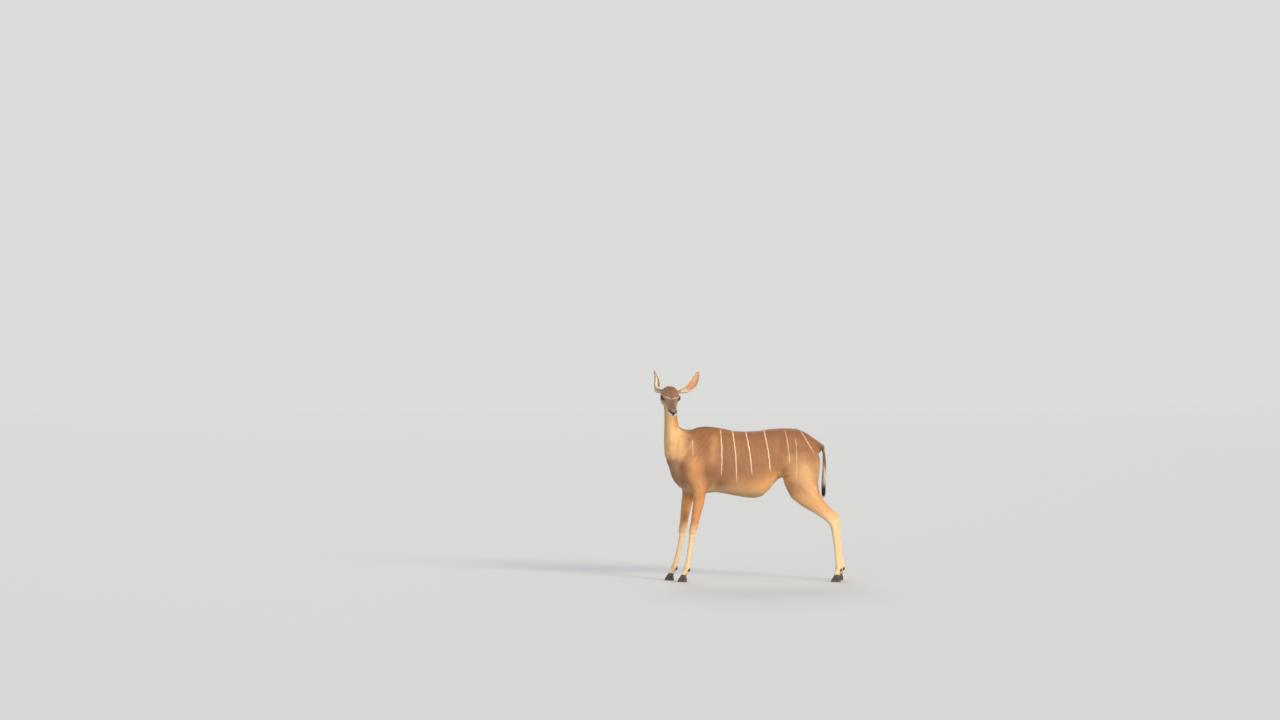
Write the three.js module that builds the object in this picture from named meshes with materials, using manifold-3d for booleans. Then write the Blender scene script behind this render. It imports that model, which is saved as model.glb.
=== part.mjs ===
// A greater kudu cow standing side-on with her head turned to the viewer, life size, in millimetres, +Z up.
// She faces -X, so her left side is towards -Y. The origin is under the middle of her box, on the floor.
import * as THREE from "three";
import { mergeVertices } from "three/addons/utils/BufferGeometryUtils.js";
import Module from "manifold-3d";

const wasm = await Module();
wasm.setup();

// Driving dimensions
const WITHERS = 1224; // height of the back over the shoulders, to the tips of the coat
const CHEST_FLOOR = 682; // height of the breastbone between the forelegs
const BELLY_FLOOR = 650; // lowest point of the belly
const RUMP = 1208; // height of the back over the hips
const HEAD_LENGTH = 331; // back of the skull to the nose
const EYE_RADIUS = 20;
const EAR_LENGTH = 275; // along its curve, with the part in the skull
const EAR_WALL = 6;
const FORE_SPREAD = 100; // from the middle plane to the middle of a foreleg
const HIND_SPREAD = 98;
const CUT = 0.4; // width of the thin cuts between the parts of the body
const GAP = 0.3; // clearance between a hard piece and the flesh round it

// Places along the body, as X
const BRISKET_X = -602;
const RUMP_END_X = 568;

const LEFT = -1; // the sign of Y on her left side
const RIGHT = 1;

const COATS = {
  fawn: new THREE.MeshStandardMaterial({ color: 0xb5825a, roughness: 0.85, metalness: 0 }),
  face: new THREE.MeshStandardMaterial({ color: 0xa87a58, roughness: 0.85, metalness: 0 }),
  stocking: new THREE.MeshStandardMaterial({ color: 0xcfa878, roughness: 0.85, metalness: 0 }),
  tail: new THREE.MeshStandardMaterial({ color: 0x9c6f4e, roughness: 0.9, metalness: 0 }),
  ear: new THREE.MeshStandardMaterial({ color: 0xc79a7c, roughness: 0.8, metalness: 0 }),
  horn: new THREE.MeshStandardMaterial({ color: 0x2a2320, roughness: 0.5, metalness: 0 }),
  eye: new THREE.MeshStandardMaterial({ color: 0x1b120c, roughness: 0.08, metalness: 0 }),
};

const vector = (x, y, z) => new THREE.Vector3(x, y, z);
const radians = THREE.MathUtils.degToRad;

// Lofts. One closed outline round a station: a superellipse with its own reach over, under and to the sides.
// Flare above 0 makes it wider over the middle than under it.
function outline({ centre, over, across }, shape, points) {
  const { up, down, side, nUp = 2, nDown = 2, flare = 0 } = shape;
  return Array.from({ length: points }, (_, i) => {
    const angle = (2 * Math.PI * i) / points;
    const c = Math.cos(angle);
    const s = Math.sin(angle);
    const power = 2 / (s > 0 ? nUp : nDown);
    const high = Math.sign(s) * Math.abs(s) ** power;
    const wide = Math.sign(c) * Math.abs(c) ** power * (1 + flare * high);
    return centre
      .clone()
      .addScaledVector(over, high * (s > 0 ? up : down))
      .addScaledVector(across, wide * side);
  });
}

// A closed solid through rings of points, with its faces pointing out.
function loft(rings) {
  const n = rings[0].length;
  const middle = (ring) => ring.reduce((a, p) => a.add(p), vector(0, 0, 0)).divideScalar(n);
  const points = [...rings.flat(), middle(rings[0]), middle(rings.at(-1))];
  const first = rings.length * n;
  const last = (rings.length - 1) * n;
  const faces = [];
  for (let i = 0; i < n; i++) {
    const j = (i + 1) % n;
    for (let r = 0; r < last; r += n) faces.push(r + i, r + j, r + n + j, r + i, r + n + j, r + n + i);
    faces.push(first, j, i, first + 1, last + i, last + j);
  }
  const volume = (f) =>
    points[faces[f]].clone().cross(points[faces[f + 1]]).dot(points[faces[f + 2]]);
  let total = 0;
  for (let f = 0; f < faces.length; f += 3) total += volume(f);
  if (total < 0) faces.reverse();
  const geometry = new THREE.BufferGeometry();
  geometry.setAttribute("position", new THREE.Float32BufferAttribute(points.flatMap((p) => p.toArray()), 3));
  geometry.setIndex(faces);
  return geometry;
}

// Rings square to a path of stations, each with its place and reach. The up side of a ring lies "towards".
function ringsAlong(path, towards, points) {
  return path.map((station, i) => {
    const before = path[Math.max(i - 1, 0)];
    const after = path[Math.min(i + 1, path.length - 1)];
    const along = vector(after.x - before.x, after.y - before.y, after.z - before.z).normalize();
    const over = towards.clone().addScaledVector(along, -towards.dot(along)).normalize();
    const across = over.clone().cross(along);
    return outline({ centre: vector(station.x, station.y, station.z), over, across }, station, points);
  });
}

// Solids for joining and cutting, and the meshes made from them again.
function solid(geometry) {
  const bare = geometry.clone();
  bare.deleteAttribute("normal");
  bare.deleteAttribute("uv");
  const merged = mergeVertices(bare, 1e-3);
  const vertProperties = merged.attributes.position.array;
  const triVerts = new Uint32Array(merged.index.array);
  return new wasm.Manifold(new wasm.Mesh({ numProp: 3, vertProperties, triVerts }));
}

function geometryOf(body) {
  const { vertProperties, triVerts, numProp, numVert } = body.getMesh();
  const places = new Float32Array(numVert * 3);
  for (let i = 0; i < numVert; i++) places.set(vertProperties.subarray(i * numProp, i * numProp + 3), i * 3);
  const geometry = new THREE.BufferGeometry();
  geometry.setAttribute("position", new THREE.BufferAttribute(places, 3));
  geometry.setIndex(new THREE.BufferAttribute(triVerts, 1));
  geometry.computeVertexNormals();
  return geometry;
}

const united = (solids) => solids.reduce((a, b) => a.add(b));

// An ellipsoid with its own reach along three directions.
function ellipsoid(centre, reach, columns = 16, rows = 10, turn = new THREE.Quaternion()) {
  const matrix = new THREE.Matrix4().compose(centre, turn, vector(...reach));
  return new THREE.SphereGeometry(1, columns, rows).applyMatrix4(matrix);
}

// A thin plate that cuts the body: centre, the directions of its width and height, and their sizes.
function cutter(centre, wide, high, width, height) {
  const through = wide.clone().cross(high).normalize();
  const basis = new THREE.Matrix4().makeBasis(wide, high, through).setPosition(centre);
  return solid(new THREE.BoxGeometry(width, height, CUT).applyMatrix4(basis));
}

// Upright rings along X. A station holds x, top, bottom, the height of the widest line, half the width there,
// and the squareness of the outline over and under that line.
function uprightLoft(stations, points) {
  const over = vector(0, 0, 1);
  const across = vector(0, 1, 0);
  const rings = stations.map(([x, top, bottom, z, side, nUp, nDown]) => {
    const shape = { up: top - z, down: z - bottom, side, nUp, nDown };
    return outline({ centre: vector(x, 0, z), over, across }, shape, points);
  });
  return loft(rings);
}

// Trunk, with the height of the widest line as a share of the depth.
const TRUNK = [
  [BRISKET_X - 8, 935, 835, 0.5, 34, 2, 2],
  [BRISKET_X + 12, 1000, 792, 0.5, 72, 2, 2],
  [-560, 1070, 752, 0.48, 98, 2, 1.9],
  [-515, 1130, 716, 0.45, 116, 1.9, 1.8],
  [-465, 1180, CHEST_FLOOR + 5, 0.42, 130, 1.7, 1.8],
  [-405, WITHERS - 9, CHEST_FLOOR, 0.4, 142, 1.5, 1.8],
  [-334, WITHERS, CHEST_FLOOR + 2, 0.4, 152, 1.45, 1.8],
  [-256, WITHERS - 8, CHEST_FLOOR + 14, 0.4, 162, 1.55, 1.9],
  [-177, WITHERS - 20, 684, 0.4, 174, 1.7, 2],
  [-110, WITHERS - 37, 671, 0.4, 184, 1.8, 2.05],
  [-30, WITHERS - 43, 657, 0.4, 193, 1.85, 2.1],
  [50, WITHERS - 42, BELLY_FLOOR, 0.4, 197, 1.85, 2.1],
  [110, WITHERS - 35, BELLY_FLOOR + 12, 0.42, 194, 1.85, 2.05],
  [160, RUMP - 10, BELLY_FLOOR + 52, 0.45, 186, 1.85, 2],
  [205, RUMP - 4, BELLY_FLOOR + 108, 0.5, 176, 1.8, 2],
  [250, RUMP, BELLY_FLOOR + 158, 0.56, 168, 1.75, 2],
  [310, RUMP, BELLY_FLOOR + 184, 0.58, 165, 1.75, 2],
  [370, RUMP - 4, BELLY_FLOOR + 194, 0.58, 162, 1.75, 2],
  [430, RUMP - 22, BELLY_FLOOR + 206, 0.58, 152, 1.8, 2],
  [485, RUMP - 54, BELLY_FLOOR + 228, 0.56, 136, 1.9, 2],
  [528, RUMP - 82, BELLY_FLOOR + 265, 0.54, 108, 2, 2],
  [555, RUMP - 104, BELLY_FLOOR + 312, 0.52, 74, 2, 2],
  [RUMP_END_X, RUMP - 140, BELLY_FLOOR + 362, 0.5, 34, 2, 2],
];

function trunkLoft() {
  const stations = TRUNK.map(([x, top, bottom, share, ...rest]) => {
    return [x, top, bottom, bottom + share * (top - bottom), ...rest];
  });
  return uprightLoft(stations, 22);
}

// A small udder in the groin
const UDDER = { centre: vector(292, 0, 834), reach: [62, 44, 30] };

// Neck: the middle line, half the depth from throat to nape, half the width, and the way the nape lies from
// the middle: turned from +X towards +Y as the head turns to the viewer, and raised, both in degrees.
const NECK = [
  [-445, 0, 980, 248, 112, 0, 62],
  [-505, 0, 1021, 205, 106, 0, 59],
  [-541, 0, 1060, 165, 97, 0, 54],
  [-573, 0, 1089, 133, 87, 0, 51],
  [-591, 0, 1123, 105, 77, 8, 48],
  [-598, -2, 1163, 86, 68, 20, 44],
  [-598, -6, 1205, 72, 60, 38, 32],
  [-601, -12, 1250, 67, 55, 58, 18],
  [-604, -20, 1300, 65, 53, 74, 8],
  [-608, -28, 1350, 64, 52, 84, 6],
  [-613, -38, 1400, 62, 52, 88, 20],
  [-618, -56, 1435, 59, 52, 90, 50],
  [-623, -88, 1455, 57, 51, 90, 78],
  [-625, -122, 1452, 48, 44, 90, 92],
];

function neckLoft() {
  const stations = NECK.map(([x, y, z, deep, side, turn, raise]) => ({ x, y, z, deep, side, turn, raise }));
  const rings = stations.map((s, i) => {
    const [before, after] = [stations[Math.max(i - 1, 0)], stations[Math.min(i + 1, stations.length - 1)]];
    const run = vector(after.x - before.x, after.y - before.y, after.z - before.z);
    const [turn, raise] = [radians(s.turn), radians(s.raise)];
    const over = vector(Math.cos(turn) * Math.cos(raise), Math.sin(turn) * Math.cos(raise), Math.sin(raise));
    const across = over.clone().cross(run).normalize();
    const shape = { up: s.deep, down: s.deep, side: s.side, nUp: 1.8, nDown: 2 };
    return outline({ centre: vector(s.x, s.y, s.z), over, across }, shape, 20);
  });
  return loft(rings);
}

// Head, in its own frame: +X from the back of the skull to the nose, +Y to her left, +Z up.
const BETWEEN_EYES = vector(0.408 * HEAD_LENGTH, 0, 25); // in the head's frame
const EYES_AT = vector(-608, -218, 1446); // the same point on the standing animal
const PITCH = 32; // how far the muzzle points below the horizon
const YAW = 7.7; // and past the viewer
const ROLL = 3;

const headFrame = (() => {
  const ahead = vector(
    Math.sin(radians(YAW)) * Math.cos(radians(PITCH)),
    -Math.cos(radians(YAW)) * Math.cos(radians(PITCH)),
    -Math.sin(radians(PITCH)),
  );
  const left = vector(Math.cos(radians(YAW)), Math.sin(radians(YAW)), 0).applyAxisAngle(ahead, radians(-ROLL));
  const basis = new THREE.Matrix4().makeBasis(ahead, left, ahead.clone().cross(left));
  const back = new THREE.Matrix4().makeTranslation(-BETWEEN_EYES.x, -BETWEEN_EYES.y, -BETWEEN_EYES.z);
  return new THREE.Matrix4().makeTranslation(EYES_AT.x, EYES_AT.y, EYES_AT.z).multiply(basis).multiply(back);
})();
const onHead = (geometry) => solid(geometry.applyMatrix4(headFrame));
const headDirection = (x, y, z) => vector(x, y, z).transformDirection(headFrame);
const headPoint = (x, y, z) => vector(x, y, z).applyMatrix4(headFrame);

// Upright rings with x as a share of the head's length.
const HEAD = [
  [0.0, 26, -40, -6, 42, 2, 2],
  [0.06, 56, -66, -4, 56, 2, 2.1],
  [0.15, 76, -85, -6, 65, 2.2, 2.3],
  [0.24, 85, -91, -2, 70, 2.3, 2.2],
  [0.33, 80, -87, 8, 70, 2.4, 2],
  [0.41, 68, -79, 16, 66, 2.4, 1.8],
  [0.49, 55, -71, 14, 58, 2.4, 1.7],
  [0.57, 46, -64, 9, 49, 2.4, 1.8],
  [0.66, 38, -57, 2, 41, 2.3, 1.9],
  [0.75, 32, -52, -4, 36, 2.2, 2],
  [0.83, 28, -49, -8, 34, 2.2, 2.1],
  [0.89, 26, -46, -8, 35, 2.3, 2.2],
  [0.94, 21, -41, -8, 33, 2.3, 2.2],
  [0.975, 12, -32, -8, 25, 2.2, 2.1],
  [1.0, -1, -19, -9, 11, 2, 2],
];
const ORBIT = { x: BETWEEN_EYES.x - 2, y: 54, z: 27, reach: [33, 19, 23] };
const EYE = { x: BETWEEN_EYES.x + 5, y: 58.5, z: 25 };
const NOSTRIL = { x: 0.955 * HEAD_LENGTH, y: 25, z: 4, reach: [13, 5, 7] };

// The head with its orbits, before the eyes and nostrils are cut into it.
function headSolid() {
  const skull = HEAD.map(([share, ...rest]) => [share * HEAD_LENGTH, ...rest]);
  const orbits = [1, -1].map((s) => ellipsoid(vector(ORBIT.x, s * ORBIT.y, ORBIT.z), ORBIT.reach, 12, 7));
  return united([uprightLoft(skull, 20), ...orbits].map(onHead));
}

function nostrilSolids() {
  return [1, -1].map((s) => {
    const turn = new THREE.Quaternion().setFromAxisAngle(vector(0, 0, 1), radians(-35 * s));
    return onHead(ellipsoid(vector(NOSTRIL.x, s * NOSTRIL.y, NOSTRIL.z), NOSTRIL.reach, 6, 5, turn));
  });
}

const eyeCentre = (side) => headPoint(EYE.x, -side * EYE.y, EYE.z);
const eyeGeometry = (side, grow) => ellipsoid(eyeCentre(side), Array(3).fill(EYE_RADIUS + grow), 12, 8);

// Ears: share of the length, radius of the cup, how far it closes round each way and how steeply it rises,
// in degrees. An ear leaves the skull sideways and bends upwards.
const EAR = [
  [0, 17, 150, 8],
  [0.1, 18, 146, 8],
  [0.2, 20, 136, 12],
  [0.3, 25, 122, 18],
  [0.41, 32, 108, 28],
  [0.53, 38, 96, 42],
  [0.65, 37, 86, 56],
  [0.77, 30, 76, 66],
  [0.88, 20, 66, 69],
  [0.95, 11, 58, 70],
  [1, 4, 50, 71],
];
const EAR_ARC = 8;
const EAR_CUT = 2; // the station where an ear is parted from the skull
const EAR_PROBE = 6;
const EARS = {
  ear_left: { side: 1, swivel: 2, root: headPoint(46, 49, 21) },
  ear_right: { side: -1, swivel: 76, root: headPoint(46, -49, 21) },
};

// The stations of an ear with their places. Its side is 1 or -1 along X; its swivel turns it backwards.
function earPath({ side, swivel, root }) {
  const middle = root.clone();
  return EAR.map(([share, radius, closed, steepness], i) => {
    const turned = radians(swivel) * THREE.MathUtils.smoothstep(share, 0, 0.32);
    const rise = radians(steepness);
    const out = vector(side * Math.cos(turned), Math.sin(turned), 0);
    const run = out.clone().multiplyScalar(Math.cos(rise)).add(vector(0, 0, Math.sin(rise)));
    const facing = vector(side * Math.sin(turned), -Math.cos(turned), 0);
    if (i > 0) middle.addScaledVector(run, (share - EAR[i - 1][0]) * EAR_LENGTH);
    return { middle: middle.clone(), run, facing, across: run.clone().cross(facing), radius, closed };
  });
}

// A place in the wall of the ear, at an angle from the middle of its back.
function earPoint({ middle, facing, across }, angle, r) {
  return middle
    .clone()
    .addScaledVector(facing, -r * Math.cos(angle))
    .addScaledVector(across, r * Math.sin(angle));
}

function earGeometry(ear) {
  const rings = earPath(ear).map((station) => {
    const wall = Math.min(EAR_WALL, station.radius * 0.5);
    const angle = (step) => radians(station.closed) * ((2 * step) / (EAR_ARC - 1) - 1);
    const steps = [...Array(EAR_ARC).keys()];
    const outside = steps.map((k) => earPoint(station, angle(k), station.radius));
    const inside = steps.map((k) => earPoint(station, angle(EAR_ARC - 1 - k), station.radius - wall));
    return [...outside, ...inside];
  });
  return loft(rings);
}

function earCut(ear) {
  const { middle, facing, across } = earPath(ear)[EAR_CUT];
  return cutter(middle, across, facing, 56, 56);
}

// Legs: x, height, reach forward, back and sideways. The near ones are measured from the photograph's side,
// and the far ones take the same shape moved along X by their stride.
const FORELEG = [
  [-330, 1150, 45, 50, 22],
  [-366, 1065, 80, 86, 42],
  [-400, 975, 104, 104, 58],
  [-420, 890, 108, 114, 62],
  [-412, 812, 92, 114, 58],
  [-390, 748, 66, 92, 50],
  [-384, 690, 54, 60, 43],
  [-388, 620, 47, 47, 37],
  [-402, 540, 40, 37, 31],
  [-416, 470, 33, 32, 27],
  [-427, 425, 30, 30, 28],
  [-433, 393, 30, 29, 28],
  [-440, 350, 24, 26, 22],
  [-450, 290, 19.5, 21, 17.5],
  [-461, 220, 18.5, 20, 16.5],
  [-472, 150, 20, 22, 18],
  [-479, 108, 25, 27, 22],
  [-492, 76, 21, 24, 21],
  [-506, 50, 24, 25, 24],
  [-512, 34, 18, 18, 18],
];
const HINDLEG = [
  [392, 1130, 70, 60, 44],
  [400, 1050, 138, 136, 70],
  [408, 955, 164, 168, 84],
  [413, 868, 160, 160, 83],
  [424, 785, 148, 142, 76],
  [447, 712, 128, 115, 66],
  [492, 648, 92, 80, 54],
  [550, 591, 66, 52, 42],
  [603, 538, 47, 43, 33],
  [642, 503, 42, 47, 27],
  [667, 466, 38, 41, 28],
  [675, 424, 29, 30, 26],
  [682, 362, 22, 24, 20],
  [690, 295, 19.5, 21, 18],
  [698, 225, 19.5, 20.5, 17],
  [706, 155, 21, 22.5, 18.5],
  [710, 110, 26, 28, 22.5],
  [703, 77, 22, 25, 21.5],
  [694, 50, 25, 26, 24.5],
  [690, 34, 18, 18, 18],
];

// How far a far leg stands ahead of or behind the near one, at each height.
const STANDS = {
  foreleg_left: { side: LEFT, shape: FORELEG, spread: FORE_SPREAD, stride: [[0, 0], [WITHERS, 0]] },
  foreleg_right: {
    side: RIGHT,
    shape: FORELEG,
    spread: FORE_SPREAD,
    stride: [
      [34, -100], [118, -95], [180, -85], [360, -75], [480, -82], [620, -88], [748, -70], [890, -38], [1065, 0],
    ],
  },
  hindleg_left: { side: LEFT, shape: HINDLEG, spread: HIND_SPREAD, stride: [[0, 0], [WITHERS, 0]] },
  hindleg_right: {
    side: RIGHT,
    shape: HINDLEG,
    spread: HIND_SPREAD,
    stride: [[34, 36], [540, 34], [712, 22], [868, 8], [955, 0]],
  },
};

function strideAt(stride, z) {
  const after = stride.findIndex(([height]) => height >= z);
  if (after === 0) return stride[0][1];
  if (after < 0) return stride.at(-1)[1];
  const [[z0, d0], [z1, d1]] = [stride[after - 1], stride[after]];
  return d0 + ((z - z0) / (z1 - z0)) * (d1 - d0);
}

// The middle of a leg stands a little closer in at the shoulder blade and at the foot.
function spreadAt(spread, z) {
  const high = THREE.MathUtils.smoothstep(z, 900, 1150);
  const low = 1 - THREE.MathUtils.smoothstep(z, 60, 600);
  return spread * (1 - 0.5 * high - 0.1 * low);
}

function legGeometry({ side, shape, spread, stride }) {
  const path = shape.map(([x, z, up, down, sideways]) => {
    return { x: x + strideAt(stride, z), y: side * spreadAt(spread, z), z, up, down, side: sideways };
  });
  return loft(ringsAlong(path, vector(-1, 0, 0.001), 12));
}

// Hooves: height, toe, heel and half width of a claw.
const CLAW = [
  [0, 45, 34, 13.5],
  [18, 37, 34.5, 13.6],
  [36, 24, 32, 13],
  [55, 8, 24, 10],
];
const CLAW_OFFSET = 14.6; // from the middle of the foot to the middle of a claw

function clawGeometry(stand, side, grow) {
  const foot = footOf(stand);
  const rings = CLAW.map(([z, toe, heel, width], i) => {
    const raised = i === 0 ? z - grow : z + (i === CLAW.length - 1 ? grow : 0);
    const place = { centre: vector(foot.x, foot.y + side * CLAW_OFFSET, raised) };
    const shape = { up: toe + grow, down: heel + grow, side: width + grow, nUp: 1.7, nDown: 2.2, flare: -0.2 };
    return outline({ ...place, over: vector(-1, 0, 0), across: vector(0, 1, 0) }, shape, 10);
  });
  return loft(rings);
}

const footOf = ({ side, shape, spread, stride }) => {
  const [x, z] = shape.at(-1);
  return vector(x + strideAt(stride, z), side * spreadAt(spread, z), z);
};

const DEWCLAW = { back: 19, out: 14, height: 91, reach: [11, 8.5, 14] };

function dewclawGeometry(stand, side, grow) {
  const [x] = stand.shape.at(-4);
  const centre = vector(
    x + strideAt(stand.stride, DEWCLAW.height) + DEWCLAW.back,
    footOf(stand).y + side * DEWCLAW.out,
    DEWCLAW.height,
  );
  return ellipsoid(centre, DEWCLAW.reach.map((r) => r + grow), 6, 4);
}

// Tail: x, y, height and the reach back, forward and sideways, to the tips of its hair.
const TAIL = [
  [530, 0, 1094, 20, 20, 20],
  [566, 0, 1083, 20, 20, 20],
  [587, 0, 1058, 18, 18, 19],
  [597, 0, 1018, 17, 17, 18],
  [602, -1, 965, 17, 17, 20],
  [604, -3, 905, 18, 18, 23],
  [604, -5, 845, 20, 20, 25],
  [602, -5, 780, 22, 21, 26],
  [598, -3, 720, 21, 20, 22],
  [595, -1, 680, 14, 14, 14],
  [593, 0, 658, 5, 5, 5],
];

function tailLoft() {
  const path = TAIL.map(([x, y, z, up, down, side]) => ({ x, y, z, up, down, side }));
  return loft(ringsAlong(path, vector(1, 0, 0.6), 10));
}

// Thin cuts that part the whole body
const along = vector(1, 0, 0);
const acrossBody = vector(0, 1, 0);

function cuts() {
  const neckSlope = vector(235, 0, 330).normalize();
  const groinSlope = vector(350, 0, -52).normalize();
  const dockSlope = vector(0.43, 0, 0.9).normalize();
  const foreCut = (side) => cutter(vector(-400, side * 105, 673), along, acrossBody, 400, 200);
  const hindCut = (side) => cutter(vector(428, side * 104, 770), groinSlope, acrossBody, 352, 200);
  return [
    cutter(vector(-525, 0, 1060), neckSlope, acrossBody, 520, 420),
    cutter(headPoint(20, 0, -34), headDirection(-0.66, 0, 0.75), headDirection(0, 1, 0), 200, 200),
    cutter(vector(583, 0, 1068), dockSlope, acrossBody, 84, 60),
    ...Object.values(EARS).map(earCut),
    foreCut(LEFT),
    foreCut(RIGHT),
    hindCut(LEFT),
    hindCut(RIGHT),
  ];
}

// Each soft part: its coat, and a point well inside it that tells it from the others once the body is cut.
const earWall = (ear) => {
  const station = earPath(ear)[EAR_PROBE];
  return earPoint(station, 0, station.radius - EAR_WALL / 2);
};
const SOFT = {
  trunk: ["fawn", vector(0, 0, 950)],
  neck: ["fawn", vector(-600, -18, 1245)],
  head: ["face", headPoint(150, 0, 0)],
  ear_left: ["ear", earWall(EARS.ear_left)],
  ear_right: ["ear", earWall(EARS.ear_right)],
  foreleg_left: ["stocking", vector(-388, LEFT * FORE_SPREAD, 620)],
  foreleg_right: ["stocking", vector(-476, RIGHT * FORE_SPREAD, 620)],
  hindleg_left: ["stocking", vector(492, LEFT * HIND_SPREAD, 648)],
  hindleg_right: ["stocking", vector(518, RIGHT * HIND_SPREAD, 648)],
  tail: ["tail", vector(606, -3, 915)],
};

const kudu = new THREE.Group();

function addNode(name, geometry, material) {
  const mesh = new THREE.Mesh(geometry, material);
  mesh.name = name;
  kudu.add(mesh);
}

// The inner and outer claw of every foot, as a name and a maker that takes how much to grow it.
const stands = Object.entries(STANDS);
const claws = (kind, geometry) => {
  return stands.flatMap(([leg, stand]) => {
    return ["inner", "outer"].map((which, i) => {
      const side = stand.side * (i ? 1 : -1);
      return { name: `${kind}_${leg}_${which}`, make: (grow) => geometry(stand, side, grow) };
    });
  });
};
const horn = [...claws("hoof", clawGeometry), ...claws("dewclaw", dewclawGeometry)];
const eyes = [LEFT, RIGHT].map((side) => {
  return { name: side === LEFT ? "eye_left" : "eye_right", make: (grow) => eyeGeometry(side, grow) };
});

// The whole body as one solid, less its hard pieces, nostrils and the thin cuts.
const flesh = united([
  solid(trunkLoft()),
  solid(ellipsoid(UDDER.centre, UDDER.reach)),
  solid(neckLoft()),
  headSolid(),
  solid(tailLoft()),
  ...Object.values(EARS).map((ear) => solid(earGeometry(ear))),
  ...stands.map(([, stand]) => solid(legGeometry(stand))),
]);
const taken = [
  ...cuts(),
  ...nostrilSolids(),
  ...[...horn, ...eyes].map(({ make }) => solid(make(GAP))),
];
const pieces = taken.reduce((a, b) => a.subtract(b), flesh).decompose();

for (const [name, [coat, point]] of Object.entries(SOFT)) {
  const probe = solid(ellipsoid(point, [2, 2, 2], 8, 6));
  const piece = pieces.find((p) => p.intersect(probe).volume() > 0);
  addNode(name, geometryOf(piece), COATS[coat]);
}
for (const { name, make } of horn) addNode(name, make(0), COATS.horn);
for (const { name, make } of eyes) addNode(name, make(0), COATS.eye);

// The origin goes under the middle of the box.
const box = new THREE.Box3().setFromObject(kudu);
kudu.position.set(-(box.min.x + box.max.x) / 2, -(box.min.y + box.max.y) / 2, -box.min.z);

export default kudu;
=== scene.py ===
# %% [markdown]
# A greater kudu cow, life size, as a museum shows one. She stands side-on with her head turned to the
# viewer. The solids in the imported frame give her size, pose and outline. This script gives her what the
# solids can't: one skin without seams, a short fawn coat with thin white stripes, wet dark eyes and horny
# hooves. Everything is in metres in the frame of the solids: she faces -X, and her left side is towards -Y.

# %% Load the frame
import math

import bmesh
import bpy
import numpy as np
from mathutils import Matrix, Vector


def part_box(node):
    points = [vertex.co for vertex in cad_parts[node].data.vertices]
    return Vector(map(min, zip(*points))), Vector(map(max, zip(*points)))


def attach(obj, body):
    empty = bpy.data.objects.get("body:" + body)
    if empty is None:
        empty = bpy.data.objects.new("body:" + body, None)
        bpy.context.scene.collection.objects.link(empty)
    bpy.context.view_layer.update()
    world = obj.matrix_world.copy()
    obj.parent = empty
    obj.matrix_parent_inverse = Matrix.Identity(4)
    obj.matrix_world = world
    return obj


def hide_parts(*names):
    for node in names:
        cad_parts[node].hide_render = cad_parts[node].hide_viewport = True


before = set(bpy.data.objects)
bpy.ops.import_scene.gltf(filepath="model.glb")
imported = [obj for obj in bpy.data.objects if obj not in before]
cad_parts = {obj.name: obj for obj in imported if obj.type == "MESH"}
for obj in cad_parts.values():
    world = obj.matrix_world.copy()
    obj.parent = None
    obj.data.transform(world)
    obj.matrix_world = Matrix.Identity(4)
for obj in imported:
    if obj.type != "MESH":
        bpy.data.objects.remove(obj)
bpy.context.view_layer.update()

# %% [markdown]
# The camera comes first, because it settles how much detail shows. The photograph looks at her flank from
# about 20 metres with a long lens, level with her eyes. A long focal length with no shift gives the same
# view. The picture is taken to be 1280 by 720 pixels.

# %% Camera
PHOTO_WIDTH = 1280  # pixels
FOCAL_LENGTH = 2538  # in pixels of the same picture
SENSOR = 36  # millimetres
CAMERA_PLACE = (-0.864, -19.91, 1.464)
CAMERA_TILT = 0.79  # degrees above the horizon
FAR_LIMIT = 1000  # metres, beyond the floor's edge


def placed(name, data):
    """A new object of the scene that holds the data."""
    holder = bpy.data.objects.new(name, data)
    bpy.context.scene.collection.objects.link(holder)
    return holder


camera_data = bpy.data.cameras.new("camera")
camera_data.sensor_width = SENSOR
camera_data.lens = SENSOR * FOCAL_LENGTH / PHOTO_WIDTH
camera_data.clip_end = FAR_LIMIT
camera = placed("camera", camera_data)
camera.location = CAMERA_PLACE
camera.rotation_euler = (math.radians(90 + CAMERA_TILT), 0, 0)
bpy.context.scene.camera = camera
print("Lens", round(camera_data.lens, 1), "mm")

# %% [markdown]
# A few small helpers serve every finish. Colours are named as sRGB hex values, as a paint chart gives them,
# and one function turns them linear, which is what shaders add and multiply. Another adds one node to a
# material with its settings and its links, and the last two use it for what every finish needs: a mix of
# two colours, and constants on the shader.

# %% Colour and node helpers
def linear(hex_colour):
    """An sRGB hex colour as linear red, green and blue."""
    values = np.array([int(hex_colour[i : i + 2], 16) for i in (0, 2, 4)]) / 255
    return np.where(values <= 0.04045, values / 12.92, ((values + 0.055) / 1.055) ** 2.4)


def add(material, kind, feeds=None, **settings):
    """Adds a node. Feeds are values or other nodes' sockets, by input; settings are its own properties."""
    node = material.node_tree.nodes.new(kind)
    for name, value in settings.items():
        setattr(node, name, value)
    for name, value in (feeds or {}).items():
        if isinstance(value, bpy.types.NodeSocket):
            material.node_tree.links.new(value, node.inputs[name])
        else:
            node.inputs[name].default_value = value
    return node


def new_material(name):
    """An empty node material and its Principled shader."""
    material = bpy.data.materials.new(name)
    material.use_nodes = True
    return material, material.node_tree.nodes["Principled BSDF"]


def blend(material, share, low, high):
    """A mix of two colours. Each of them is a hex value or a node's socket."""
    ends = [(*linear(end), 1) if isinstance(end, str) else end for end in (low, high)]
    return add(material, "ShaderNodeMix", {0: share, 6: ends[0], 7: ends[1]}, data_type="RGBA").outputs[2]


def set_sockets(shader, **values):
    """Constants on a shader's own sockets, named with _ for the spaces."""
    for name, value in values.items():
        shader.inputs[name.replace("_", " ")].default_value = value


print("The sRGB grey 808080 is", linear("808080").round(3), "in linear light")

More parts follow.
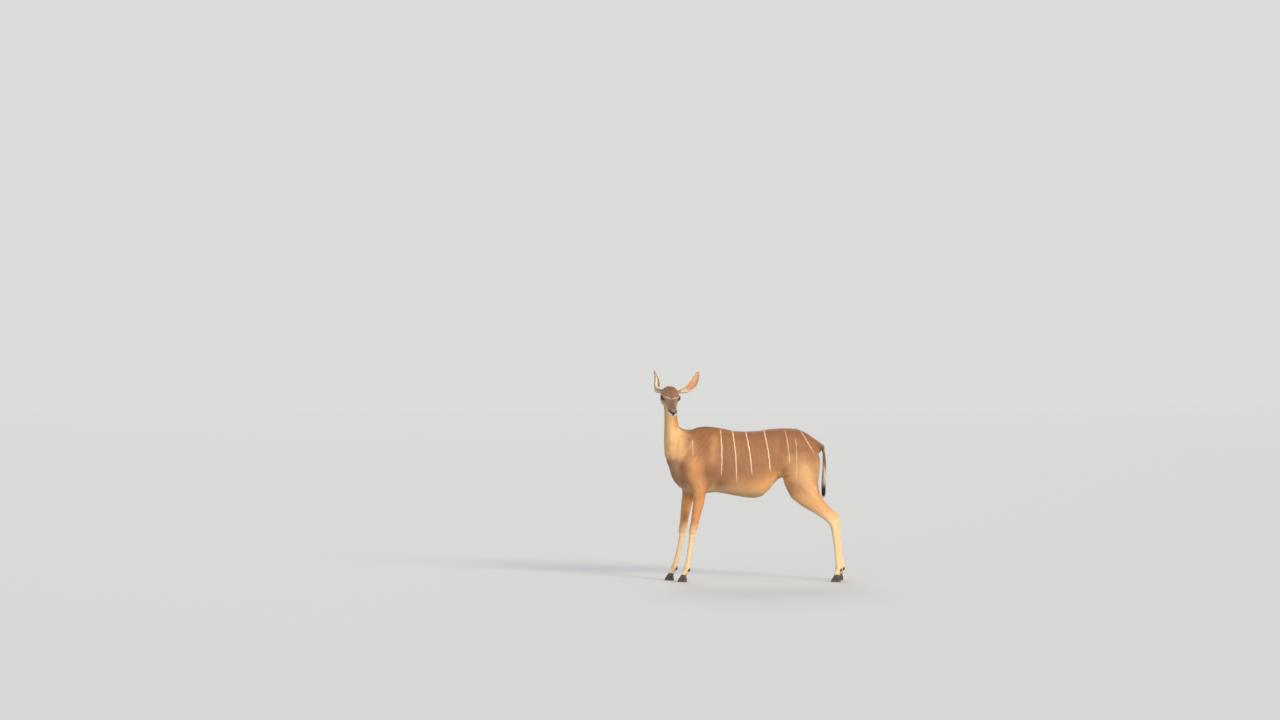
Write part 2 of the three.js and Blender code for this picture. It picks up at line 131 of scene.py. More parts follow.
# %% [markdown]
# The studio is a wide pale floor under a soft sky. The photograph has low warm sun from the right, so the
# main light comes from there, and two weaker ones open up the shade and the back. They are sun lamps with
# a wide angle, which give soft shadows, and light the floor the same from near to far. The floor's paint
# is as bright in this light as the sky is, so that hardly any horizon shows.

# %% Floor and lights
FLOOR_RADIUS = 300
SUNS = {  # where each stands as seen from the animal, its strength, its angle in degrees and its tint
    "main light": ((7, -8.5, 4.8), 3.1, 20, "ffebd3"),
    "fill light": ((-6, -10, 2), 0.8, 40, "f2f5ff"),
    "back light": ((-1, 10, 7), 1.0, 30, "ffffff"),
}
SKY_COLOUR, SKY_STRENGTH = "fbfbfa", 0.74
FLOOR_PAINT = ("b5b9bd", "bbbfc3")

bpy.ops.mesh.primitive_circle_add(vertices=96, radius=FLOOR_RADIUS, fill_type="NGON")
floor = bpy.context.object
floor.name = "floor"
paint, shader = new_material("matt studio paint")
grain = add(paint, "ShaderNodeTexNoise", {"Scale": 3.0, "Detail": 3.0})
shade = blend(paint, grain.outputs["Fac"], *FLOOR_PAINT)
paint.node_tree.links.new(shade, shader.inputs["Base Color"])
set_sockets(shader, Roughness=0.9)
floor.data.materials.append(paint)

for name, (place, strength, angle, tint) in SUNS.items():
    light = bpy.data.lights.new(name, "SUN")
    light.energy = strength
    light.angle = math.radians(angle)
    light.color = linear(tint)
    holder = placed(name, light)
    holder.location = place
    holder.rotation_euler = (-Vector(place)).to_track_quat("-Z", "Y").to_euler()

world = bpy.data.worlds.new("soft sky")
world.use_nodes = True
set_sockets(world.node_tree.nodes["Background"], Color=(*linear(SKY_COLOUR), 1), Strength=SKY_STRENGTH)
bpy.context.scene.world = world
bpy.context.scene.view_settings.view_transform = "Standard"
print(len(SUNS), "lights")

# %% [markdown]
# On a living animal the parts run into each other under one skin. The solids are faceted and parted by thin
# cuts, so their flesh is copied, grown by a millimetre to close the cuts, and remeshed in small voxels into
# one closed mesh. A ball round each eye stands for the closed lids, which are opened later. Places are kept
# in plain arrays from here on, because a formula over a whole array is short and quick.

# %% Flesh as one closed mesh
EARS = ["ear_left", "ear_right"]
FLESH = ["trunk", "neck", "head", *EARS, "tail"]
LEGS = ["foreleg_left", "foreleg_right", "hindleg_left", "hindleg_right"]
EYES = ["eye_left", "eye_right"]
VOXEL = 0.0032  # metres
SEAM = 0.001  # how far each solid is grown to close the cuts
LID_REACH = 0.0232  # from the middle of the eye to the outside of the lids


def middle_of(node):
    return np.mean(np.array(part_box(node)), axis=0)


def merged_copy(node, grown=0.0):
    """A solid's mesh with its doubles merged, grown along its normals."""
    part = bmesh.new()
    part.from_mesh(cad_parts[node].data)
    bmesh.ops.remove_doubles(part, verts=part.verts, dist=1e-5)
    part.normal_update()
    for vertex in part.verts:
        vertex.co += vertex.normal * grown
    return part


def as_mesh(body, name):
    """A new mesh of the body, which is freed."""
    mesh = bpy.data.meshes.new(name)
    body.to_mesh(mesh)
    body.free()
    return mesh


def made_by_modifiers(holder):
    """The plain mesh that an object's modifiers make. The object itself is removed."""
    made = bpy.data.meshes.new_from_object(holder.evaluated_get(bpy.context.evaluated_depsgraph_get()))
    holder.modifiers.clear()
    bpy.data.objects.remove(holder)
    return made


def remeshed(body, size):
    """A closed triangle mesh of what the body fills, as voxels of one size see it."""
    rough = placed("rough", as_mesh(body, "rough"))
    voxels = rough.modifiers.new("voxels", "REMESH")
    voxels.mode = "VOXEL"
    voxels.voxel_size = size
    return made_by_modifiers(rough)


body = bmesh.new()
for node in FLESH + LEGS:
    loose = as_mesh(merged_copy(node, SEAM), node)
    body.from_mesh(loose)
    bpy.data.meshes.remove(loose)
for eye in EYES:
    ball = bmesh.ops.create_icosphere(body, subdivisions=4, radius=LID_REACH)
    bmesh.ops.translate(body, verts=ball["verts"], vec=middle_of(eye))
flesh = remeshed(body, VOXEL)
print("The flesh has", len(flesh.vertices), "points")

# %% [markdown]
# A few measures say where a point of the skin lies. Her spine's plane comes from the trunk's box. The head
# has a frame of its own in millimetres, found from the two eyes: X runs from the back of the skull to the
# nose, Y to her left and Z to the crown.

# %% Where a point lies
EYE_LINE = np.array([140.0, 0.0, 25.0])  # the point between the eyes, in the head's frame
MUZZLE_DROP = math.radians(32)
SPINE_Y = middle_of("trunk")[1]
EAR_MARGIN, TAIL_MARGIN = 0.002, 0.004  # round the boxes of the solids, in metres


def unit(v):
    return v / np.maximum(np.linalg.norm(v, axis=-1, keepdims=True), 1e-9)


def ramp(values, low, high):
    """0 below low, 1 above high, and smooth between."""
    t = np.clip((values - low) / (high - low), 0, 1)
    return t * t * (3 - 2 * t)


def near(points, path, width):
    """1 on a path of points, falling off like a bell over its width."""
    path = np.atleast_2d(np.array(path, dtype=float))
    nearest = np.full(len(points), np.inf)
    for start, end in zip(path, path[1:] if len(path) > 1 else path):
        run = end - start
        along = np.clip((points - start) @ run / max(run @ run, 1e-12), 0, 1)
        nearest = np.minimum(nearest, np.sum((points - start - along[:, None] * run) ** 2, axis=1))
    return np.exp(-nearest / width**2)


def inside(points, node, margin):
    low, high = np.array(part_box(node))
    return np.all((points > low - margin) & (points < high + margin), axis=1)


eye_places = [middle_of(eye) for eye in EYES]
to_left = unit(eye_places[0] - eye_places[1])
level = unit(np.cross(to_left, [0, 0, 1]))
ahead = level * math.cos(MUZZLE_DROP) - np.array([0, 0, math.sin(MUZZLE_DROP)])
ahead = unit(ahead - (ahead @ to_left) * to_left)
HEAD_AXES = np.stack([ahead, to_left, np.cross(ahead, to_left)])
HEAD_MIDDLE = (eye_places[0] + eye_places[1]) / 2


def to_head(places):
    """Places in the head's own frame, in millimetres."""
    return (places - HEAD_MIDDLE) @ HEAD_AXES.T * 1000 + EYE_LINE


def from_head(points):
    return (np.asarray(points, dtype=float) - EYE_LINE) @ HEAD_AXES / 1000 + HEAD_MIDDLE


def on_ears(places):
    return np.any([inside(places, ear, EAR_MARGIN) for ear in EARS], axis=0)


def on_head(places):
    """1 on the head, 0 on the ears, the neck and the rest, and smooth over the line behind the jaw."""
    x, y, z = to_head(places).T
    behind_jaw = 0.75 * (x - 20) + 0.66 * (z + 34)
    close = (places[:, 2] > 1.25) & (places[:, 0] < -0.5) & (np.hypot(y, z) < 150) & ~on_ears(places)
    return ramp(behind_jaw, -12, 12) * close


def on_tail(places):
    return inside(places, "tail", TAIL_MARGIN)


print("The nose is at", from_head([331, 0, 0]).round(3))

# %% [markdown]
# The voxel mesh still shows the facets of the solids. Moving each point a little towards the mean of its
# neighbours, many times over, irons them out. How far that reaches is set point by point: much on the
# trunk, where muscle is broad, and hardly at all on the face, ears and feet, which would lose their shape.

# %% Iron out the facets
WIDEST = 0.024  # how far the smoothing reaches on the trunk, in metres
REACH = {"legs": 0.0055, "neck": 0.013, "head": 0.0034, "ears": 0.0042, "tail": 0.008}  # and elsewhere
STEP = 0.9  # the largest share of the way to the neighbours' mean in one pass
PASSES = round(2 * (WIDEST / VOXEL) ** 2 / STEP)


def read(items, field, width, kind=np.float32):
    """One property of every point, edge or corner of a mesh, as the rows of an array."""
    flat = np.empty(len(items) * width, dtype=kind)
    items.foreach_get(field, flat)
    return flat.reshape(-1, width)


def read_places(mesh):
    return read(mesh.vertices, "co", 3).astype(float)


def write_places(mesh, places):
    mesh.vertices.foreach_set("co", places.astype(np.float32).ravel())
    mesh.update()


def normals_of(mesh):
    return read(mesh.vertices, "normal", 3).astype(float)


def read_edges(mesh):
    return read(mesh.edges, "vertices", 2, np.int32).T


def read_corners(mesh):
    return read(mesh.loops, "vertex_index", 1, np.int32)[:, 0]


def smoothed(values, edges, share, passes):
    """Values drawn towards the mean of their neighbours, by each point's own share of the way."""
    a, b = edges
    n = len(values)
    count = np.bincount(a, minlength=n) + np.bincount(b, minlength=n)
    values = values.copy()
    for _ in range(passes):
        for column in values.T:
            total = np.bincount(a, column[b], n) + np.bincount(b, column[a], n)
            column += share * (total / count - column)
    return values


def smoothing_reach(places):
    """How far the smoothing reaches at each point, in metres."""
    x, z = places[:, 0], places[:, 2]
    reach = np.full(len(places), WIDEST)
    slender = 1 - ramp(z, 0.50, 0.76)
    reach += slender * (REACH["legs"] - reach)
    neck = ramp(-x, 0.45, 0.55) * ramp(z, 1.02, 1.15)
    reach += neck * (REACH["neck"] - reach)
    reach += on_head(places) * (REACH["head"] - reach)
    reach[on_ears(places)] = REACH["ears"]
    reach[on_tail(places)] = REACH["tail"]
    return reach


places, edges = read_places(flesh), read_edges(flesh)
reach = smoothed(smoothing_reach(places)[:, None], edges, 0.5, 12)[:, 0]
places = smoothed(places, edges, STEP * (reach / WIDEST) ** 2, PASSES)
write_places(flesh, places)
print("Smoothed in", PASSES, "passes")

# %% [markdown]
# The face needs finer points than the body: the rims of the lids are a millimetre thick. So the triangles
# round the eyes, the nose and the mouth are split before anything is shaped there.

# %% Finer points on the face
FACE_DETAIL = [(0.042, 215), (0.029, 292)]  # metres round an eye, and X in the head's frame where it starts


def split_where(mesh, wanted):
    """Splits every edge of the faces whose points are all wanted in two."""
    body = bmesh.new()
    body.from_mesh(mesh)
    chosen = [face for face in body.faces if all(wanted[v.index] for v in face.verts)]
    cut = list({edge for face in chosen for edge in face.edges})
    bmesh.ops.subdivide_edges(body, edges=cut, cuts=1, use_grid_fill=True)
    bmesh.ops.triangulate(body, faces=body.faces[:])
    body.to_mesh(mesh)
    body.free()


def eye_distance(places):
    return np.min([np.linalg.norm(places - eye, axis=1) for eye in eye_places], axis=0)


def face_detail(places, eye_reach, muzzle_from):
    """Which points lie round an eye or on the muzzle."""
    on_muzzle = (to_head(places)[:, 0] > muzzle_from) & (on_head(places) > 0)
    return (eye_distance(places) < eye_reach) | on_muzzle


for eye_reach, muzzle_from in FACE_DETAIL:
    split_where(flesh, face_detail(read_places(flesh), eye_reach, muzzle_from))
places, edges = read_places(flesh), read_edges(flesh)
detail = face_detail(places, *FACE_DETAIL[0])
places = smoothed(places, edges, 0.5 * detail, 3)
write_places(flesh, places)
print("The flesh now has", len(places), "points")

# %% [markdown]
# Muscle and bone under the skin are shaped as a sculptor does it, with strokes that raise or sink the
# surface along a line. A stroke on the flank is drawn on the side view, as X and Z, and both flanks get it.
# Each is a few millimetres: a lean cow in short fur shows her shoulder blade, hip bone, flank hollow and
# thigh, and only a hint of her ribs.

# %% Muscles of the trunk
FLANK_STROKES = [  # a line of X and Z in metres, its width, and how far it lifts the skin
    ([(-0.32, 1.15), (-0.40, 1.05), (-0.475, 0.95)], 0.014, 0.004),  # ridge of the shoulder blade
    ([(-0.39, 1.12), (-0.47, 1.01)], 0.020, 0.0025),  # muscle in front of it
    ([(-0.30, 1.12), (-0.38, 1.00)], 0.026, 0.0035),  # and behind it
    ([(-0.345, 1.10), (-0.44, 0.965)], 0.010, -0.002),
    ([(-0.29, 1.02), (-0.325, 0.87)], 0.036, 0.006),  # back of the upper arm
    ([(-0.36, 0.93), (-0.35, 0.82)], 0.012, -0.0025),
    ([(-0.225, 1.12), (-0.235, 0.97), (-0.262, 0.82), (-0.285, 0.75)], 0.024, -0.005),  # behind the shoulder
    ([(-0.505, 0.925)], 0.028, 0.005),  # point of the shoulder
    ([(-0.43, 1.14), (-0.53, 1.00), (-0.572, 0.90)], 0.015, -0.0045),  # in front of the shoulder
    ([(-0.47, 0.90), (-0.41, 0.82), (-0.40, 0.76)], 0.022, 0.003),  # upper arm
    ([(-0.43, 0.845), (-0.375, 0.76)], 0.009, -0.002),
    ([(-0.305, 0.795)], 0.018, 0.0045),  # elbow
    ([(0.20, 1.10), (0.205, 1.05)], 0.034, -0.007),  # flank hollow
    ([(0.19, 1.01), (0.21, 0.90), (0.245, 0.83)], 0.024, -0.006),  # in front of the thigh
    ([(0.252, 1.135)], 0.022, 0.007),  # hip bone
    ([(0.262, 1.11), (0.272, 0.97), (0.295, 0.84)], 0.018, 0.004),  # front edge of the thigh
    ([(0.36, 1.02), (0.39, 0.89)], 0.055, 0.005),  # thigh
    ([(0.45, 1.10), (0.455, 0.96), (0.475, 0.83), (0.505, 0.745)], 0.011, -0.0035),
    ([(0.515, 1.03), (0.51, 0.90)], 0.026, 0.004),  # buttock
    ([(0.548, 1.075)], 0.016, 0.005),  # pin bone
    ([(0.318, 0.79)], 0.026, 0.005),  # stifle
    ([(0.36, 0.765), (0.40, 0.715)], 0.010, -0.0025),
    ([(0.275, 0.845), (0.235, 0.80), (0.20, 0.765)], 0.011, 0.004),  # fold of the flank
    ([(0.43, 0.73), (0.54, 0.63)], 0.022, 0.0035),  # calf
    ([(0.47, 0.73), (0.575, 0.605)], 0.007, -0.0025),
]
RIBS = 10
RIB_SPACING = 0.038
FIRST_RIB = -0.195
RIB_LIFT = 0.0011


def flank_lift(places, normals):
    side = np.abs(normals[:, 1]) * (np.abs(places[:, 1] - SPINE_Y) > 0.02)
    outward = np.sign(places[:, 1] - SPINE_Y) * normals[:, 1] > 0
    view = places[:, [0, 2]]
    lift = np.zeros(len(places))
    for line, width, amount in FLANK_STROKES:
        lift += amount * near(view, line, width)
    for rib in range(RIBS):
        x = FIRST_RIB + rib * RIB_SPACING
        lift += RIB_LIFT * near(view, [(x - 0.01, 1.07), (x + 0.012, 0.95), (x + 0.04, 0.82)], 0.010)
    return lift * outward * ramp(side, 0.15, 0.6)


def midline_lift(places, normals):
    """The groove of the breast between the forelegs, the navel line and the ridge of the back."""
    x, y, z = places.T
    middle = np.exp(-(((y - SPINE_Y) / 0.014) ** 2))
    breast = middle * ramp(-x, 0.53, 0.58) * ramp(z, 0.74, 0.80) * (1 - ramp(z, 0.93, 1.0))
    muscles = np.exp(-(((np.abs(y - SPINE_Y) - 0.045) / 0.022) ** 2)) * ramp(-x, 0.5, 0.56) * (z < 0.95)
    back = middle * (normals[:, 2] > 0.4) * ramp(x, -0.15, 0.0) * (1 - ramp(x, 0.42, 0.5))
    return -0.006 * breast + 0.004 * muscles * ramp(z, 0.74, 0.8) + 0.0025 * back


normals = normals_of(flesh)
trunk_only = (1 - on_head(places)) * ~on_ears(places) * ~on_tail(places) * (places[:, 2] < 1.2)
lift = (flank_lift(places, normals) + midline_lift(places, normals)) * trunk_only
places += normals * lift[:, None]
write_places(flesh, places)
print("Muscles lift the skin by up to", round(lift.max() * 1000, 1), "mm")

# %% [markdown]
# Below the elbow and the stifle there is little but bone, tendon and skin. Each leg's middle line is
# measured from the flesh itself, in slices, so that a stroke can be given by its height and by how far it
# is to the front, the back or the side of the bone.

# %% Bones and tendons of the legs
SLICE = 0.008  # metres
LEG_TOPS = {"fore": 0.66, "hind": 0.70}


def leg_points(places, leg):
    """Which points belong to one leg under the trunk."""
    x, y, z = places.T
    side = (y < SPINE_Y) if leg.endswith("left") else (y > SPINE_Y)
    if leg.startswith("fore"):
        return side & (x < -0.3) & (z < LEG_TOPS["fore"])
    return side & (x > 0.27 + 0.4 * (LEG_TOPS["hind"] - z)) & (z < LEG_TOPS["hind"]) & ~on_tail(places)


def sliced(z, values):
    """At each point's height: the value halfway between the least and the most, and half their span."""
    heights = np.arange(z.min() + SLICE / 2, z.max(), SLICE)
    slices = [np.abs(z - height) < SLICE for height in heights]
    least, most = [np.array([edge(values[s]) for s in slices]) for edge in (np.min, np.max)]
    return np.interp(z, heights, (least + most) / 2), np.interp(z, heights, (most - least) / 2)


def leg_frame(places, leg):
    """For the points of a leg: how far they lie ahead of its middle line and outside it, and its reach."""
    chosen = np.flatnonzero(leg_points(places, leg))
    x, y, z = places[chosen].T
    middle_x, reach = sliced(z, x)
    outward = -1 if leg.endswith("left") else 1
    return chosen, middle_x - x, outward * (y - sliced(z, y)[0]), reach


def bell(values, middle, width):
    return np.exp(-(((values - middle) / width) ** 2))


def foreleg_lift(z, forward, out, reach):
    knee = bell(z, 0.405, 0.030)
    shank = ramp(z, 0.13, 0.18) * (1 - ramp(z, 0.33, 0.37))
    forearm = ramp(z, 0.45, 0.50)
    return (
        0.0030 * knee * ramp(forward, 0, 0.02)
        + 0.0030 * bell(z, 0.432, 0.014) * ramp(-forward, 0.005, 0.02)
        - 0.0022 * bell(z, 0.372, 0.012)
        - 0.0026 * shank * bell(forward, -0.0045, 0.0040) * ramp(np.abs(out), 0.006, 0.012)
        - 0.0030 * forearm * bell(forward / reach, -0.10, 0.14) * ramp(out, 0.006, 0.02)
    )


def hindleg_lift(z, forward, out, reach):
    string = ramp(z, 0.515, 0.545) * (1 - ramp(z, 0.615, 0.67))
    shank = ramp(z, 0.14, 0.19) * (1 - ramp(z, 0.36, 0.41))
    return (
        -0.0075 * string * bell(forward, 0.019 - reach, 0.0080) * ramp(np.abs(out), 0.006, 0.016)
        + 0.0030 * bell(z, 0.512, 0.016) * ramp(-forward / reach, 0.5, 0.9)
        + 0.0026 * bell(z, 0.455, 0.022) * ramp(np.abs(out), 0.012, 0.024)
        - 0.0018 * bell(z, 0.405, 0.014)
        - 0.0026 * shank * bell(forward, -0.0050, 0.0045) * ramp(np.abs(out), 0.006, 0.012)
    )


def foot_lift(z, forward, out, reach):
    """The swelling behind the fetlock, the cleft between the claws and the rim over each hoof."""
    cleft = bell(out, 0, 0.0042) * (1 - ramp(z, 0.055, 0.085)) * ramp(np.abs(forward), 0.006, 0.014)
    return (
        0.0030 * bell(z, 0.112, 0.012) * ramp(-forward / reach, 0.2, 0.8)
        + 0.0014 * bell(z, 0.122, 0.012) * ramp(np.abs(out), 0.008, 0.016)
        - 0.0050 * cleft
        + 0.0018 * bell(z, 0.052, 0.006)
    )


normals = normals_of(flesh)
for leg in LEGS:
    chosen, forward, out, reach = leg_frame(places, leg)
    z = places[chosen, 2]
    shape = foreleg_lift if leg.startswith("fore") else hindleg_lift
    lift = (shape(z, forward, out, reach) + foot_lift(z, forward, out, reach)) * (1 - ramp(z, 0.60, 0.66))
    places[chosen] += normals[chosen] * lift[:, None]
    print(leg, "has", len(chosen), "points under the trunk")
write_places(flesh, places)

# %% [markdown]
# The head gets the most care. Its strokes are given in millimetres in the head's frame, and each is drawn
# on the side, on the top or under the jaw. Then the mouth and the nostrils get their lines.

# %% Bones and folds of the head
SIDE_STROKES = [  # a line of X and Z in the head's frame, its width, and its lift, in millimetres
    ([(178, 2), (150, -2), (112, -4), (74, 2)], 8, 2.6),  # cheek bone under the eye
    ([(178, -6), (212, -14), (240, -20)], 7, 2.2),  # ridge of the upper jaw
    ([(92, -34), (100, -56)], 20, 2.6),  # chewing muscle
    ([(132, -18), (126, -50), (112, -74)], 6, -2.0),  # its front edge
    ([(60, -66), (100, -84), (150, -72), (210, -60), (262, -50)], 6, 2.0),  # lower jaw
    ([(178, 20), (196, 14)], 9, -2.8),  # hollow before the eye
    ([(205, 12), (262, 4)], 8, -2.2),  # hollow beside the nose
    ([(170, -34), (235, -32)], 12, -2.6),  # cheek between the jaws
    ([(84, 40), (92, 26)], 12, -3.2),  # temple
    ([(112, 52), (136, 57), (158, 47)], 6, 4.2),  # brow
    ([(118, 3), (140, -1), (160, 3)], 4, -1.6),  # fold under the lower lid
    ([(272, -6), (268, -24)], 7, -1.2),  # in front of it the muzzle swells
    ([(298, -14), (312, -12)], 9, 2.2),  # upper lip
    ([(282, -42), (300, -38)], 7, 2.0),  # lower lip
]
TOP_STROKES = [  # a line of X and Y
    ([(150, 17), (200, 15), (285, 13)], 5, 1.2),  # edge of the nose bone
    ([(60, 0), (110, 0), (140, 0)], 10, 1.2),
    ([(118, 17), (146, 19), (166, 18)], 7, -1.4),
    ([(74, 28)], 13, 3.2),  # where a bull has his horns
    ([(170, 0), (285, 0)], 5, -0.5),
]
JAW_STROKES = [([(120, 0), (250, 0)], 11, -4.0), ([(292, 0), (306, 0)], 8, 1.6)]
MOUTH = [(330, 0, -21), (325, 16, -22.5), (308, 29, -25), (282, 32, -27), (246, 30, -30.5)]
NOSTRIL = [(327, 11, -5), (324, 18, 2), (317, 24, 8), (306, 29, 9), (299, 31, 4)]
LIP_CLEFT = [(331, 0, -6), (330, 0, -20)]


def mirrored(line):
    return np.array(line) * [1, -1, 1]


def laid_on(points, line, steps=24):
    """A line drawn near the skin, moved onto its nearest points."""
    line = np.array(line, dtype=float)
    at = np.linspace(0, len(line) - 1, steps)
    fine = np.stack([np.interp(at, range(len(line)), column) for column in line.T], axis=1)
    return np.array([points[np.argmin(np.sum((points - p) ** 2, axis=1))] for p in fine])


def head_lift(points, normals):
    """How far the skin of the head is lifted, in millimetres."""
    flat = np.stack([points[:, 0], np.abs(points[:, 1])], axis=1)
    lift = np.zeros(len(points))
    on_side = ramp(np.abs(normals[:, 1]), 0.25, 0.6)
    for line, width, amount in SIDE_STROKES:
        lift += amount * on_side * near(points[:, [0, 2]], line, width)
    for line, width, amount in TOP_STROKES:
        lift += amount * ramp(normals[:, 2], 0.3, 0.7) * near(flat, line, width)
    for line, width, amount in JAW_STROKES:
        lift += amount * ramp(-normals[:, 2], 0.3, 0.7) * near(flat, line, width)
    for line in (MOUTH, mirrored(MOUTH)):
        lift += 1.4 * near(points, laid_on(points, np.add(line, (0, 0, 5))), 3.2)
        lift += -4.2 * near(points, laid_on(points, line), 1.7)
    for line in (NOSTRIL, mirrored(NOSTRIL)):
        lift += 2.0 * near(points, laid_on(points, np.add(line, (0, 0, 5))), 3.0)
        lift += -7.5 * near(points, laid_on(points, line), 3.0)
    return lift - 2.2 * near(points, laid_on(points, LIP_CLEFT), 1.4)


head = np.flatnonzero(on_head(places) > 0)
normals = normals_of(flesh)
lift = head_lift(to_head(places[head]), normals[head] @ HEAD_AXES.T) * on_head(places[head])
places[head] += normals[head] * lift[:, None] / 1000
write_places(flesh, places)
print("The mouth is", MOUTH[0][0] - MOUTH[-1][0], "mm long")

# %% [markdown]
# The lids of an antelope lie close on the eyeball and meet it in a thin dark rim. Until here they are shut,
# as part of the ball round each eye. Now each eye is opened: inside an almond the skin is drawn in behind
# the eyeball, and the rim of each lid is thinned so that it lies on the ball. A shallow crease over the rim
# makes the fold of the upper lid. A formula in the distance to the almond does all this in one go.

# %% Open the eyes
EYE_AHEAD = 24  # degrees that the eye looks ahead of straight sideways
EYE_SLANT = 12  # degrees that the inner corner lies lower than the outer one
EYE_BALL = 0.0200  # radius in metres
OPENING = {"half_length": 18.9, "over": 12.8, "under": 10.4}  # millimetres on the ball
BEHIND = 0.0135  # radius to which the skin is drawn in, out of sight
RIM = 0.0206  # radius of the rim, which lies on the ball
LID_EDGE = 4.5  # width of the thin edge of the lids, in millimetres


def eye_axes(side):
    """Along the opening to its inner corner, up across it, and out of the eye. Side is 1 on her left."""
    turn, slant = math.radians(EYE_AHEAD), math.radians(EYE_SLANT)
    out = np.array([math.sin(turn), side * math.cos(turn), 0.10])
    inner = np.array([math.cos(turn) * math.cos(slant), -side * math.sin(turn), -math.sin(slant)])
    out = unit(out)
    inner = unit(inner - (inner @ out) * out)
    up = np.cross(out, inner) * side
    return np.stack([inner, up * np.sign(up[2]), out]) @ HEAD_AXES


def lid_height(along, tall):
    """How far the edge of a lid is from the middle line of the opening. Tall is its height in the middle."""
    return tall * np.maximum(1 - (along / OPENING["half_length"]) ** 2, 0) ** 0.8


def on_eye(places, eye, side):
    """Distance from the middle of the eye, and millimetres up and outside the rim of the lids."""
    offset = places - eye
    distance = np.linalg.norm(offset, axis=1)
    along, up, out = (offset / distance[:, None] @ eye_axes(side).T).T * EYE_BALL * 1000
    over = np.abs(up) - lid_height(along, np.where(up > 0, OPENING["over"], OPENING["under"]))
    past = np.abs(along) - OPENING["half_length"]
    beyond = np.where((over < 0) & (past < 0), over, np.hypot(over, np.maximum(past, 0)))
    return distance, up, np.where(out > 4, beyond, 99)


def opened(distance, up, beyond):
    """The new distance of the skin from the middle of the eye."""
    rim = RIM + 0.0022 * ramp(beyond, 0.2, LID_EDGE)
    crease = 0.0013 * bell(beyond, 6.2, 1.3) * (up > 2)
    lids = np.where(beyond < LID_EDGE, np.minimum(distance, rim), distance - crease)
    return np.where(beyond < 0, BEHIND + (RIM - BEHIND) * ramp(beyond, -1.6, 0), lids)


for eye, side in zip(eye_places, (1, -1)):
    close = np.flatnonzero(np.linalg.norm(places - eye, axis=1) < 0.040)
    distance, up, beyond = on_eye(places[close], eye, side)
    scale = opened(distance, up, beyond) / distance
    scale = np.where(distance < 0.030, scale, 1)
    places[close] = eye + (places[close] - eye) * scale[:, None]
write_places(flesh, places)
print("Each eye opens", OPENING["over"] + OPENING["under"], "mm high")

# %% [markdown]
# The head turns towards the viewer, so the neck twists. Its skin lies in shallow folds inside the bend,
# there is a groove on each side of the windpipe, and two cords of muscle run from behind the ears down to
# the back. They are drawn as lines near the skin and moved onto it, because the neck has no plain side view.

# %% Folds of the neck
WINDPIPE_EDGE = [(-0.545, 0.025, 1.36), (-0.560, 0.035, 1.22), (-0.575, 0.020, 1.08), (-0.590, 0.030, 0.98)]
NECK_STROKES = [  # a line of places in metres, its width and its lift
    (WINDPIPE_EDGE, 0.012, -0.0035),
    ([(-0.690, 0.020, 1.36), (-0.672, 0.035, 1.22), (-0.650, 0.060, 1.10)], 0.012, -0.003),  # its other edge
    ([(-0.620, 0.000, 1.33), (-0.620, 0.005, 1.18), (-0.625, 0.030, 1.05)], 0.016, 0.003),  # windpipe
    ([(-0.560, 0.085, 1.38), (-0.548, 0.120, 1.24), (-0.500, 0.135, 1.12)], 0.016, 0.0035),  # cord of muscle
    ([(-0.690, 0.085, 1.38), (-0.680, 0.125, 1.24), (-0.610, 0.160, 1.08)], 0.016, 0.0035),
]
NECK_FOLDS = [(1.352, 0.022, 0.9), (1.312, 0.010, 0.5), (1.258, 0.028, 0.8)]  # height, slope, depth in mm

normals = normals_of(flesh)
neck = (1 - on_head(places)) * (places[:, 0] < -0.45) * ramp(places[:, 2], 0.93, 1.0) * ~on_ears(places)
lift = np.zeros(len(places))
for line, width, amount in NECK_STROKES:
    lift += amount * near(places, laid_on(places, line, 10), width)
x, y, z = places.T
inner_side = ramp(x, -0.64, -0.58) * (1 - ramp(y, 0.06, 0.12))
for height, slope, depth in NECK_FOLDS:
    lift -= depth / 1000 * bell(z + slope * (x + 0.6) / 0.06, height, 0.0065) * inner_side
places += normals * (lift * neck)[:, None]
write_places(flesh, places)
print(len(NECK_FOLDS), "folds")

# %% [markdown]
# The solids reach to the tips of the coat, so the bare skin lies inside them by the coat's depth: a few
# millimetres on the body and hardly one on the face. The tail is mostly hair, so its flesh shrinks to the
# slender dock inside it, which ends well above the tip.

# %% Draw the skin in by the depth of the coat
COAT_DEPTH = {"trunk": 0.0036, "legs": 0.0017, "head": 0.0011, "ears": 0.0008}
TAIL_ROOT, TAIL_FREE = 1.075, 0.99  # heights where the dock starts and where it hangs free
DOCK_WIDTH, DOCK_LENGTH = 0.50, 0.80  # shares of the tail's own


def coat_depth(places):
    slender = 1 - ramp(places[:, 2], 0.4, 0.75)
    depth = COAT_DEPTH["trunk"] + slender * (COAT_DEPTH["legs"] - COAT_DEPTH["trunk"])
    depth += on_head(places) * (COAT_DEPTH["head"] - depth)
    depth[on_ears(places)] = COAT_DEPTH["ears"]
    depth *= ramp(eye_distance(places), 0.024, 0.030)
    return depth * ~(on_tail(places) & (places[:, 2] < TAIL_FREE))


def dock(places):
    """The points of the tail, drawn in to the dock."""
    chosen = np.flatnonzero(on_tail(places) & (places[:, 2] < TAIL_ROOT))
    x, y, z = places[chosen].T
    middle_x, middle_y = sliced(z, x)[0], sliced(z, y)[0]
    free = 1 - ramp(z, TAIL_FREE, TAIL_ROOT)
    share = 1 - (1 - DOCK_WIDTH) * free
    x, y = middle_x + (x - middle_x) * share, middle_y + (y - middle_y) * share
    return chosen, np.stack([x, y, z + free * (1 - DOCK_LENGTH) * (TAIL_ROOT - z)], axis=1)


chosen, moved = dock(places)
places -= normals_of(flesh) * coat_depth(places)[:, None]
places[chosen] = moved
write_places(flesh, places)
print("The dock ends at", round(moved[:, 2].min(), 3), "m")

